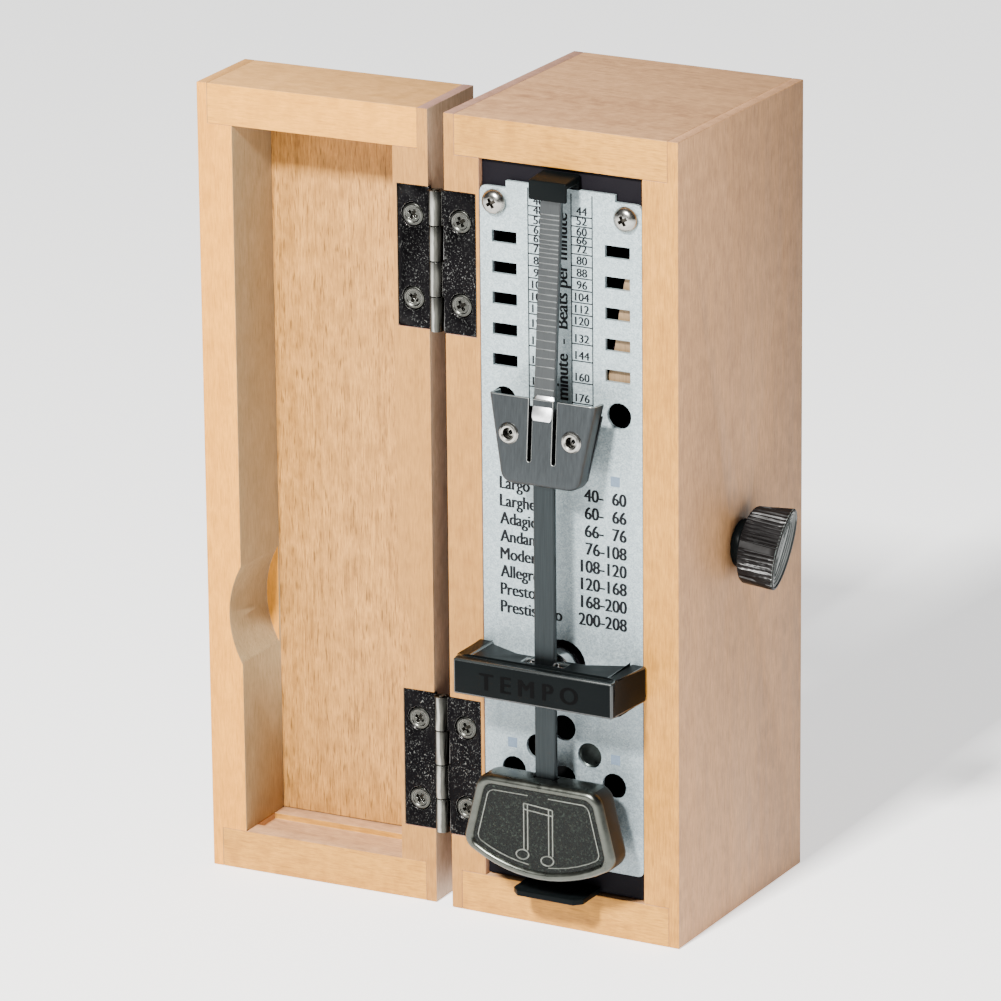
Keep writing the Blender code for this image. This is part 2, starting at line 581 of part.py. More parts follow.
def make_click():
    """The pawl that holds the ratchet wheel, its screw and its wire spring."""
    face = PLATE_OUT + 0.5
    tooth = math.radians(90 + 15)
    tip = (KEY_Y + (RATCHET_R - 0.25) * math.cos(tooth), KEY_Z + (RATCHET_R - 0.25) * math.sin(tooth))
    outline = ((CLICK[0] + 1.7, CLICK[1] - 0.6), (CLICK[0] + 1.2, CLICK[1] + 1.4),
               (CLICK[0] - 1.2, CLICK[1] + 1.4), (CLICK[0] - 2.6, CLICK[1] - 0.4),
               (tip[0] - 0.8, tip[1] + 1.6), (tip[0] - 0.1, tip[1] + 0.45), (CLICK[0] - 1.2, CLICK[1] - 1.3))
    pawl = prism("click", "X", outline, face, face + 1.1)
    cut(pawl, rod("click_bore", "X", CLICK, 0.5 + CLEAR, face - 1, face + 3, sides=12))
    finish(pawl, "steel")
    steps = ((1.2, face + 1.9), (1.2, face + 1.4), (0.5, face + 1.4), (0.5, PLATE_IN - 0.2))
    finish(turned("click_screw", "X", CLICK, steps, sides=12), "steel", smooth=True)
    wire = prism("click_spring", "X",
                 ((CLICK[0] - 6.5, CLICK[1] + 3.6), (CLICK[0] - 5.3, CLICK[1] + 3.6),
                  (CLICK[0] - 5.3, CLICK[1] + 2.3), (CLICK[0] - 0.2, CLICK[1] + 2.3),
                  (CLICK[0] - 0.2, CLICK[1] + 1.9), (CLICK[0] - 6.5, CLICK[1] + 1.9)), face - 0.2, face + 1.0)
    finish(wire, "steel")


def make_barrel():
    low, high = DRUM_X
    wheel = prism("barrel_wheel", "X", gear_outline(GREAT_TEETH, GREAT_MODULE, KEY, heading(KEY, SECOND)),
                  low - 1.6, low)
    drum = rod("drum_wall", "X", KEY, DRUM_R, low - 0.5, high, sides=40)
    hollow = rod("drum_hollow", "X", KEY, DRUM_R - 0.9, low + 0.8, high + 1, sides=40)
    join(wheel, drum)
    cut(wheel, hollow, rod("barrel_bore", "X", KEY, 1.6 + CLEAR, low - 3, high + 2, sides=16))
    finish(wheel, "brass")
    cover = tube("barrel_cover", "X", KEY, DRUM_R - 1.2, 1.6 + CLEAR, high - 1.0, high - 0.2, sides=36)
    finish(cover, "brass")
    turns, per_turn, inner, outer, thick = 5, 16, 3.6, 11.4, 0.4
    count = turns * per_turn
    rings = []
    for i in range(count + 1):
        angle = 2 * math.pi * i / per_turn
        r = inner + (outer - inner) * i / count
        rings.append([(x, KEY_Y + q * math.cos(angle), KEY_Z + q * math.sin(angle))
                      for x, q in ((low + 1.4, r), (low + 1.4, r + thick), (high - 1.6, r + thick),
                                   (high - 1.6, r))])
    finish(solid_from("mainspring", rings), "steel")


def make_train():
    low = DRUM_X[0] - 1.6
    to_key, to_crown = heading(SECOND, KEY), heading(SECOND, CROWN)
    leaves = gear_outline(SECOND_LEAVES, GREAT_MODULE, SECOND, to_key + math.pi / SECOND_LEAVES)
    staff = rod("second_arbor", "X", SECOND, 0.8, -PLATE_OUT - 0.3, PLATE_OUT + 0.3, sides=12)
    join(staff, prism("second_leaves", "X", leaves, low - 0.4, low + 2.0))
    finish(staff, "steel")
    wheel = prism("second_wheel", "X",
                  gear_outline(SECOND_TEETH, SECOND_MODULE, SECOND, to_crown), 9.0, 10.0)
    cut(wheel, rod("second_bore", "X", SECOND, 0.8 + GAP, 8, 11, sides=12))
    finish(wheel, "brass")

    leaves = gear_outline(CROWN_LEAVES, SECOND_MODULE, CROWN,
                          heading(CROWN, SECOND) + math.pi / CROWN_LEAVES)
    staff = rod("crown_arbor", "X", CROWN, 0.6, 2.6, PLATE_OUT + 0.3, sides=12)
    join(staff, prism("crown_leaves", "X", leaves, 8.6, 10.4))
    finish(staff, "steel")
    make_crown_wheel()


def make_crown_wheel():
    """A cup whose rim is cut into saw teeth that face the pallets."""
    tip, root, web = 2.5, 4.1, 5.4
    cup = tube("crown_wheel", "X", CROWN, CROWN_R + 0.4, CROWN_R - 0.4, tip, web, sides=60)
    join(cup, rod("crown_web", "X", CROWN, CROWN_R, web - 0.8, web - 0.02, sides=30))
    cut(cup, rod("crown_bore", "X", CROWN, 0.6 + GAP, web - 2, web + 1, sides=12))
    pitch = 2 * math.pi / CROWN_TEETH
    for tooth in range(CROWN_TEETH):
        middle = pitch * tooth
        rings = []
        for radius in (CROWN_R - 1.2, CROWN_R + 1.2):
            ring = []
            for x, turn in ((tip - 0.5, 0.04 * pitch), (tip - 0.5, 0.80 * pitch), (root, 0.04 * pitch)):
                ring.append((x, CROWN[0] + radius * math.cos(middle + turn),
                             CROWN[1] + radius * math.sin(middle + turn)))
            rings.append(ring)
        cut(cup, solid_from(f"crown_gash_{tooth}", rings))
    finish(cup, "brass")


def make_bracket():
    """The shelf on the right plate that holds the crown wheel's inner pivot and the arbor's rear one."""
    shelf = block("escapement_bracket", (-3.0, PLATE_IN - GAP), (CROWN_Y - 3, CROWN_Y + 10.2),
                  (44.8, 46.0))
    join(shelf, block("crown_cock", (6.0, 7.2), (CROWN_Y - 2.6, CROWN_Y + 2.6), (45.0, 56.5)),
         block("rear_cock", (-2.6, 2.6), (CROWN_Y + 8.9, CROWN_Y + 10.1), (45.0, 55.6)))
    cut(shelf, rod("crown_cock_way", "X", CROWN, 0.6 + CLEAR, 5, 8.2, sides=12),
        rod("rear_cock_way", "Y", (0, PIVOT_Z), ARBOR_R + CLEAR, CROWN_Y + 8, CROWN_Y + 11, sides=12))
    finish(shelf, "brass")


wipe()
make_case()
make_case_hinges()
make_lid()
make_chassis()
make_plate()
make_holder()
make_bridge()
make_pendulum()
make_bob()
make_weight()
make_frame_plates()
make_winding()
make_click()
make_barrel()
make_train()
make_bracket()
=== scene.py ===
"""How the metronome looks: its finished surfaces, print, light, floor and camera.

Lengths below are in millimetres and angles in degrees, in the frame of the CAD model:
+Z up, the front facing -Y, the lid open to -X and the winding key at +X.
"""

import json
import math

import bmesh
import bpy
import numpy as np
from mathutils import Matrix, Vector


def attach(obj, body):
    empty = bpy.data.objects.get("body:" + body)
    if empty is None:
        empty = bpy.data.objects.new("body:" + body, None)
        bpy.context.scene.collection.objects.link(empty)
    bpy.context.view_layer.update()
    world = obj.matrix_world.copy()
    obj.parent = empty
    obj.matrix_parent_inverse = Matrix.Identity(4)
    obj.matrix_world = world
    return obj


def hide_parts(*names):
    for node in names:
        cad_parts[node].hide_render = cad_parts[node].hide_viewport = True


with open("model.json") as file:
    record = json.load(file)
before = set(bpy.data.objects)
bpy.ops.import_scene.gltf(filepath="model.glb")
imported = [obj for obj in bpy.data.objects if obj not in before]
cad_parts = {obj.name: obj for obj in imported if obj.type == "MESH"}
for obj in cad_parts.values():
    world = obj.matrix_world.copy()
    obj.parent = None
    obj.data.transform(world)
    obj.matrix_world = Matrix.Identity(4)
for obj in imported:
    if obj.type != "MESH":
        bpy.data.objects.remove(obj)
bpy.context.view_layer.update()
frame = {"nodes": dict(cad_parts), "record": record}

MM = 0.001
FRONT = -26.25             # Y of the case's front rim and of the scale plate's face
HINGE_X, HINGE_Y, LID_OPEN = -26.85, -25.95, 178.07
LID_RIM = FRONT - 0.4      # Y of the lid's rim while it is shut
PIVOT_Z, ROD_FRONT = 54.0, FRONT - 7.7
BEND_Z, ROD_LEAN = 101.0, 0.082      # above the bend the rod leans back
ROD_HALF, ROD_T, ROD_LOW, ROD_TOP = 2.2, 1.0, 19.5, 149.1
BOB_FRONT, BOB_BACK = FRONT - 11.2, FRONT - 4.4
BRIDGE_FRONT, BRIDGE_HIGH = FRONT - 12.7, 56.5
KEY_Y, KEY_Z, KEY_LEAN = -0.25, 74.5, 36.7

CREASE_ANGLE, SHARP_ANGLE = 32, 35   # edges above these are rounded, or drawn sharp where none are
WOOD_EDGE, WOOD_SWELL = 0.18, 0.12   # rounding of the boards' edges, and what closes their joints
LEAF_LOWS, LEAF_H, BARREL_R = (("lower", 15.2), ("upper", 116.8)), 28.0, 1.75
LEAF_SCREW_X, LEAF_SCREW_RISE = HINGE_X + 5.4, 8.25
PLATE_SCREW_X, PLATE_SCREW_Z = 14.0, 144.07
DISC_SPOT = (5.6, 36.2)              # the grey disc behind one of the lower holes
EYELET_X, EYELET_Z = 6.7, 0.7        # on the weight, from the rod's bend

# Painted light: what wood's colour is multiplied by on faces that look sideways, up and to the back,
# standing in for the cooler light that falls on them
SIDE_PAINTED_LIGHT, TOP_PAINTED_LIGHT, REAR_PAINTED_LIGHT = (0.92, 1.10, 3.4), (0.95, 1.16, 4.2), (0.96, 1.06, 2.0)

# The printed scale, in beats per minute
LEFT_MARKS = (40, 48, 56, 63, 69, 76, 84, 92, 100, 108, 116, 126, 138, 152, 168, 184, 200)
RIGHT_MARKS = (44, 52, 60, 66, 72, 80, 88, 96, 104, 112, 120, 132, 144, 160, 176, 192, 208)
LEFT_COLUMN, RIGHT_COLUMN = (-6.9, -2.4), (2.3, 6.75)
SCALE_LOW, SCALE_HIGH = 97.4, 147.6
SQUARES = ((-11.2, 36.25), (11.2, 36.25), (-11.4, 92.2), (11.4, 92.2))
LINE_HALF = 0.12                     # half the width of a printed line
FILM, PRINT_FACE = (FRONT - 0.016, FRONT - 0.004), FRONT - 0.012
GRAVITY, BALANCE, INERTIA = 9810.0, 94.69, 2082.0     # what places a mark for its number of beats
TEMPI = (("Largo", "40-  60"), ("Larghetto", "60-  66"), ("Adagio", "66-  76"), ("Andante", "76-108"),
         ("Moderato", "108-120"), ("Allegro", "120-168"), ("Presto", "168-200"),
         ("Prestissimo", "200-208"))
TEMPO_TOP, TEMPO_PITCH = 88.6, 3.56

CAMERA = {"azimuth": 28.658, "elevation": 17.831, "roll": -0.5475, "distance": 1360.9,
          "target": (-13.36, FRONT, 84.91), "lens": 256.27}

BODY_OF = {node: body for body, nodes in frame["record"]["behaviour"]["bodies"].items() for node in nodes}
SLOT_OF = {part["node"]: part["material_slot"] for part in frame["record"]["subparts"]}


# Shapes

def ring(axis, points, place):
    """Points in the plane square to an axis, set at a place along it."""
    order = {"X": lambda u, v: (place, u, v), "Y": lambda u, v: (u, place, v),
             "Z": lambda u, v: (u, v, place)}[axis]
    return [order(u, v) for u, v in points]


def circle(u, v, radius, sides=32):
    turn = 2 * math.pi / sides
    return [(u + radius * math.cos(i * turn), v + radius * math.sin(i * turn)) for i in range(sides)]


def skin(rings, loop=False):
    """A closed body over rings of points, each ring with as many points."""
    body = bmesh.new()
    rows = [[body.verts.new(Vector(p) * MM) for p in row] for row in rings]
    for near, far in list(zip(rows, rows[1:])) + ([(rows[-1], rows[0])] if loop else []):
        for i in range(len(near)):
            j = (i + 1) % len(near)
            body.faces.new((near[i], near[j], far[j], far[i]))
    if not loop:
        body.faces.new(rows[0][::-1])
        body.faces.new(rows[-1])
    bmesh.ops.recalc_face_normals(body, faces=body.faces)
    return body


def turned(axis, centre, profile, sides=32, loop=False):
    return skin([ring(axis, circle(*centre, r, sides), t) for r, t in profile], loop)


def prism(axis, outline, low, high):
    return skin([ring(axis, outline, low), ring(axis, outline, high)])


def box(x, y, z):
    return prism("Z", ((x[0], y[0]), (x[1], y[0]), (x[1], y[1]), (x[0], y[1])), *z)


def shrunk(corners, by):
    """A polygon, listed anticlockwise, with every side moved inwards."""
    points = [Vector(c) for c in corners]
    moved = []
    for before, here, after in zip(points[-1:] + points[:-1], points, points[1:] + points[:1]):
        a, b = (here - before).normalized(), (after - here).normalized()
        inward_a, inward_b = Vector((-a.y, a.x)), Vector((-b.y, b.x))
        moved.append(here + (inward_a + inward_b) * by / (1 + inward_a.dot(inward_b)))
    return moved


def filleted(corners, radii, steps=6):
    """A polygon with its corners rounded; a radius of 0 keeps the corner."""
    points = [Vector(c) for c in corners]
    outline = []
    for i, (here, radius) in enumerate(zip(points, radii)):
        before, after = points[i - 1], points[(i + 1) % len(points)]
        if radius <= 0:
            outline.append(here)
            continue
        a, b = (before - here).normalized(), (after - here).normalized()
        half = a.angle(b) / 2
        reach = radius / math.tan(half)
        centre = here + (a + b).normalized() * radius / math.sin(half)
        start, end = here + a * reach - centre, here + b * reach - centre
        straight = start.angle(end) <= 1e-4
        for k in range(steps + 1):
            outline.append(centre + (start if straight else start.slerp(end, k / steps) * radius))
    return outline


def joined(bodies):
    """Several bodies as one mesh body."""
    whole = bmesh.new()
    for part in bodies:
        step = bpy.data.meshes.new("step")
        part.to_mesh(step)
        part.free()
        whole.from_mesh(step)
        bpy.data.meshes.remove(step)
    return whole


def carved(body, *cutters):
    """The body with the cutters taken out of it."""
    def thing(part):
        mesh = bpy.data.meshes.new("step")
        part.to_mesh(mesh)
        part.free()
        made = bpy.data.objects.new("step", mesh)
        bpy.context.scene.collection.objects.link(made)
        return made

    whole, tools = thing(body), [thing(cutter) for cutter in cutters]
    for tool in tools:
        step = whole.modifiers.new("cut", "BOOLEAN")
        step.operation, step.solver, step.object = "DIFFERENCE", "EXACT", tool
    seen = whole.evaluated_get(bpy.context.evaluated_depsgraph_get())
    left = bmesh.new()
    left.from_mesh(seen.to_mesh())
    seen.to_mesh_clear()
    for item in [whole, *tools]:
        mesh = item.data
        bpy.data.objects.remove(item)
        bpy.data.meshes.remove(mesh)
    bmesh.ops.remove_doubles(left, verts=left.verts, dist=1e-7)
    return left


def grown(body, by):
    """Moves every face outwards, so that neighbouring boards nearly meet."""
    body.normal_update()
    moves = []
    for vert in body.verts:
        normals = np.array([face.normal for face in vert.link_faces])
        moves.append(Vector(np.linalg.lstsq(normals, np.full(len(normals), by * MM), rcond=0.05)[0]))
    for vert, move in zip(body.verts, moves):
        vert.co += move
    return body


def from_node(node):
    """A CAD node's own shape, with its flat faces whole again."""
    body = bmesh.new()
    body.from_mesh(frame["nodes"][node].data)
    bmesh.ops.remove_doubles(body, verts=body.verts, dist=1e-6)
    bmesh.ops.dissolve_limit(body, angle_limit=math.radians(1.5), verts=body.verts, edges=body.edges)
    return body


def piece(name, body, look, nodes=(), on=None, edge=0.0, segments=3, others=(), rim=0):
    """A finished piece: its mesh, edges, finish, and the CAD body and nodes it belongs to.

    Faces can take one of the other looks by their material index; rim is the bevel's own index.
    """
    mesh = bpy.data.meshes.new(name)
    body.to_mesh(mesh)
    body.free()
    made = bpy.data.objects.new(name, mesh)
    bpy.context.scene.collection.objects.link(made)
    for each in (look, *others):
        mesh.materials.append(each)
    mesh.shade_smooth()
    if edge:
        soften = made.modifiers.new("edges", "BEVEL")
        soften.width, soften.segments = edge * MM, segments
        soften.limit_method = "ANGLE"
        soften.angle_limit = math.radians(CREASE_ANGLE)
        soften.harden_normals = True
        if rim:
            soften.material = rim
    else:
        mesh.set_sharp_from_angle(angle=math.radians(SHARP_ANGLE))
    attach(made, on or BODY_OF[nodes[0]])
    if nodes:
        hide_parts(*nodes)
    return made


def refined(node, look, edge, swell=0.0, others=(), rim=0):
    """A finished piece in the shape of a CAD node, with its edges softened."""
    body = from_node(node)
    if swell:
        grown(body, swell)
    return piece(f"{node}_finished", body, look, (node,), edge=edge, others=others, rim=rim)


def marked(body, test):
    """Gives the faces whose middle passes the test the first of the piece's other looks."""
    for face in body.faces:
        if test(*(face.calc_center_median() / MM)):
            face.material_index = 1
    return body


# Finishes

class Finish:
    """A material whose colour, roughness and relief come from nodes."""

    def __init__(self, name, metal=0.0, coat=0.0, coat_rough=0.1):
        self.look = bpy.data.materials.new(name)
        self.look.use_nodes = True
        self.tree = self.look.node_tree
        self.shader = self.tree.nodes["Principled BSDF"]
        self.shader.inputs["Metallic"].default_value = metal
        self.shader.inputs["Coat Weight"].default_value = coat
        self.shader.inputs["Coat Roughness"].default_value = coat_rough
        spots = self.tree.nodes.new("ShaderNodeTexCoord")
        self.place, self.normal = spots.outputs["Object"], spots.outputs["Normal"]

    def node(self, kind, values, **settings):
        made = self.tree.nodes.new(kind)
        for key, value in settings.items():
            setattr(made, key, value)
        for key, value in values.items():
            if isinstance(value, bpy.types.NodeSocket):
                self.tree.links.new(value, made.inputs[key])
            else:
                made.inputs[key].default_value = value
        return made

    def facing(self, axis, low, high, onward=False):
        """How squarely a face looks along an axis (0 for X, 1 for Y, 2 for Z), from 0 to 1.

        Either way along the axis counts, or only the way it runs.
        """
        parts = self.node("ShaderNodeSeparateXYZ", {"Vector": self.normal})
        along = parts.outputs[axis] if onward else self.maths("ABSOLUTE", parts.outputs[axis], 0.0)
        return self.between(along, low, high)

    def height(self, low, high):
        parts = self.node("ShaderNodeSeparateXYZ", {"Vector": self.place})
        return self.between(parts.outputs[2], low * MM, high * MM)

    def spread(self, stretch, seed):
        return self.node("ShaderNodeMapping", {"Vector": self.place, "Scale": stretch,
                                               "Location": (seed, 0.7 * seed, 1.3 * seed)}).outputs[0]

    def noise(self, stretch, detail=3.0, rough=0.55, seed=0.0, wave=0.0):
        return self.node("ShaderNodeTexNoise", {"Vector": self.spread(stretch, seed), "Scale": 1.0,
                                                "Detail": detail, "Roughness": rough,
                                                "Distortion": wave}).outputs["Fac"]

    def grains(self, stretch, seed=0.0):
        """A random number for every small cell."""
        cell = self.node("ShaderNodeTexVoronoi", {"Vector": self.spread(stretch, seed), "Scale": 1.0})
        return self.node("ShaderNodeSeparateColor", {"Color": cell.outputs["Color"]}).outputs[0]

    def between(self, value, low, high, to_low=0.0, to_high=1.0):
        return self.node("ShaderNodeMapRange", {"Value": value, "From Min": low, "From Max": high,
                                                "To Min": to_low, "To Max": to_high}).outputs[0]

    def maths(self, operation, a, b):
        return self.node("ShaderNodeMath", {0: a, 1: b}, operation=operation).outputs[0]

    def mixed(self, share, a, b, how="MIX"):
        a, b = [(*c, 1.0) if isinstance(c, tuple) else c for c in (a, b)]
        return self.node("ShaderNodeMix", {0: share, 6: a, 7: b}, data_type="RGBA",
                         blend_type=how).outputs[2]

    def done(self, colour, rough, relief=None, deep=0.05, strength=1.0):
        self.tree.links.new(colour, self.shader.inputs["Base Color"])
        self.tree.links.new(rough, self.shader.inputs["Roughness"])
        if relief is not None:
            lift = self.node("ShaderNodeBump", {"Height": relief, "Distance": deep * MM,
                                                "Strength": strength})
            self.tree.links.new(lift.outputs[0], self.shader.inputs["Normal"])
        return self.look


def wood(name, pale, dark, along="Z", fleck=0.3, seed=0.0, streak=0.5, pitch=1.0, beside=SIDE_PAINTED_LIGHT):
    """Planed pale wood: broad tone, fine grain and short pores, all drawn out along one axis.

    Faces that look sideways, up or to the back are painted cooler than the front ones, painted light that
    stands in for the cooler light on them. Those that look towards +X take the tint given as beside,
    painted shade for the light on that side.
    """
    finish = Finish(name)
    finish.shader.inputs["Specular IOR Level"].default_value = 0.25

    def drawn(across, length):
        return tuple(length if axis == along else across for axis in "XYZ")

    def tinted(base, tint, axis, onward=False):
        return finish.mixed(finish.facing(axis, 0.55, 0.85, onward), base,
                            finish.mixed(1.0, plain, tint, "MULTIPLY"))

    broad = finish.noise(drawn(70, 7), 2.0, 0.5, seed, 0.3)
    grain = finish.noise(drawn(900 * pitch, 30 * pitch), 5.0, 0.66, seed + 3, 0.15)
    fibre = finish.noise(drawn(3800, 420), 2.0, 0.6, seed + 5)
    pores = finish.noise(drawn(2900 * pitch, 230 * pitch), 2.0, 0.5, seed + 7)
    blotch = finish.noise((330, 330, 260), 3.0, 0.6, seed + 11)
    tone = finish.maths("ADD", finish.maths("MULTIPLY", grain, streak),
                        finish.maths("MULTIPLY", broad, 1.0 - streak))
    colour = finish.mixed(finish.between(tone, 0.36, 0.64), dark, pale)
    colour = finish.mixed(finish.between(blotch, 0.3, 0.7, 0.0, 0.75), colour,
                          tuple(min(1.0, c * 1.2) for c in pale))
    colour = finish.mixed(finish.between(fibre, 0.40, 0.70, 0.0, 0.5), colour,
                          tuple(c * 0.80 for c in dark))
    flecks = finish.between(pores, 0.56, 0.70, 0.0, fleck)
    plain = finish.mixed(flecks, colour, tuple(c * 0.55 for c in dark))
    # Painted light: faces looking back, sideways, towards +X and up take tints that stand in for how the
    # light falls on them
    colour = tinted(plain, REAR_PAINTED_LIGHT, 1, True)
    colour = tinted(colour, SIDE_PAINTED_LIGHT, 0)
    colour = tinted(colour, beside, 0, True)
    colour = tinted(colour, TOP_PAINTED_LIGHT, 2)
    rough = finish.between(grain, 0.3, 0.7, 0.46, 0.62)
    relief = finish.maths("SUBTRACT", grain, flecks)
    return finish.done(colour, rough, relief, 0.03, 0.6)


def metal(name, tint, rough, drawn=(900, 900, 900), spread=0.12, speck=0.0, speck_tint=None,
          seed=0.0, deep=0.01, upper=None):
    """Plated or brushed metal with faint wear, and bright specks where speck is above 0.

    Given an upper tint, the metal takes it above the bend of the rod, a painted reflection: the lighter
    tint stands in for the brighter surroundings that the leaning upper rod mirrors.
    """
    finish = Finish(name, metal=1.0)
    wear = finish.noise(drawn, 4.0, 0.6, seed)
    worn = finish.between(wear, 0.3, 0.7)
    colour = finish.mixed(worn, tuple(c * 0.8 for c in tint), tuple(min(1.0, c * 1.15) for c in tint))
    # Painted reflection above the rod's bend
    if upper:
        colour = finish.mixed(finish.height(BEND_Z - 1, BEND_Z + 4), colour,
                              finish.mixed(worn, tuple(c * 0.8 for c in upper), upper))
    if speck:
        cloud = finish.noise((150, 150, 150), 2.0, 0.5, seed + 5)
        dots = finish.noise((3700, 3700, 2900), 2.0, 0.6, seed + 9, 0.6)
        mask = finish.maths("MULTIPLY", finish.between(dots, 0.60, 0.68),
                            finish.between(cloud, 0.38, 0.62, 0.15, 1.0))
        colour = finish.mixed(finish.maths("MULTIPLY", mask, speck), colour, speck_tint)
    return finish.done(colour, finish.between(wear, 0.25, 0.75, rough - spread / 2, rough + spread / 2),
                       wear, deep, 0.5)


def knuckle_metal(name, bright, mid, dark):
    """The hinge knuckles, a painted highlight: a bright line down the middle of the barrel that fades to
    dark towards its sides, made to waver by worn plating.
    """
    finish = Finish(name, metal=1.0)
    across = finish.node("ShaderNodeSeparateXYZ", {"Vector": finish.place}).outputs[0]
    wear = finish.noise((900, 900, 140), 3.0, 0.6, 6.0)
    shift = finish.maths("MULTIPLY", finish.maths("SUBTRACT", wear, 0.5), 0.0012)
    # Painted highlight: the colour goes by the distance from the hinge's axis
    off = finish.maths("ADD", finish.maths("SUBTRACT", across, (HINGE_X - 0.15) * MM), shift)
    away = finish.maths("ABSOLUTE", off, 0.0)
    colour = finish.mixed(finish.between(away, 0.00012, 0.00045), bright, mid)
    colour = finish.mixed(finish.between(away, 0.0007, 0.0012), colour, dark)
    return finish.done(colour, finish.between(wear, 0.3, 0.7, 0.22, 0.36), wear, 0.02, 0.5)


def plastic(name, tint, rough, coat=0.0, grain=1400, shine=0.1):
    """Moulded plastic with a faint leathery surface."""
    finish = Finish(name, coat=coat, coat_rough=0.12)
    finish.shader.inputs["Specular IOR Level"].default_value = shine
    leather = finish.noise((grain,) * 3, 3.0, 0.5)
    cloud = finish.noise((120,) * 3, 2.0, 0.5, 4.0)
    colour = finish.mixed(cloud, tint, tuple(c * 1.6 for c in tint))
    return finish.done(colour, finish.between(cloud, 0.3, 0.7, rough * 0.85, rough * 1.2),
                       leather, 0.02, 0.5)


def satin_silver(name):
    """The scale plate: fine metallic silver whose grains catch the light one by one, painted darker towards
    the bottom as painted shade.
    """
    finish = Finish(name, metal=0.4)
    grain = finish.grains((4200, 4200, 4200))
    cloud = finish.noise((900, 900, 900), 3.0, 0.6, 2.0)
    colour = finish.mixed(finish.maths("MULTIPLY", grain, finish.between(cloud, 0.3, 0.7, 0.55, 1.0)),
                          (0.235, 0.295, 0.315), (0.46, 0.545, 0.565))
    # Painted shade: the plate's colour is darker towards the bottom
    low = finish.mixed(1.0, colour, (0.76, 0.76, 0.78), "MULTIPLY")
    colour = finish.mixed(finish.height(30, 110), low, colour)
    return finish.done(colour, finish.between(grain, 0, 1, 0.40, 0.58), grain, 0.012, 0.35)


def pebbled(name, tint, pale):
    """The sunken face of the pendulum's bob: dark, with a cast grain whose tops are bright."""
    finish = Finish(name, metal=1.0, coat=0.25, coat_rough=0.25)
    grain = finish.grains((3600, 3600, 3600), 1.0)
    soft = finish.noise((3000, 3000, 3000), 2.0, 0.6, 3.0)
    tops = finish.maths("MULTIPLY", finish.between(grain, 0.55, 1.0), finish.between(soft, 0.4, 0.65))
    return finish.done(finish.mixed(tops, tint, pale), finish.between(soft, 0.3, 0.7, 0.3, 0.5),
                       finish.maths("ADD", grain, soft), 0.06, 0.8)


def ink(name, tint):
    """Dull print that covers a little unevenly."""
    finish = Finish(name)
    finish.shader.inputs["Specular IOR Level"].default_value = 0.08
    cover = finish.noise((2200, 2200, 2200), 3.0, 0.6)
    return finish.done(finish.mixed(cover, tint, tuple(min(1, c * 1.7 + 0.004) for c in tint)),
                       finish.between(cover, 0.3, 0.7, 0.45, 0.6))


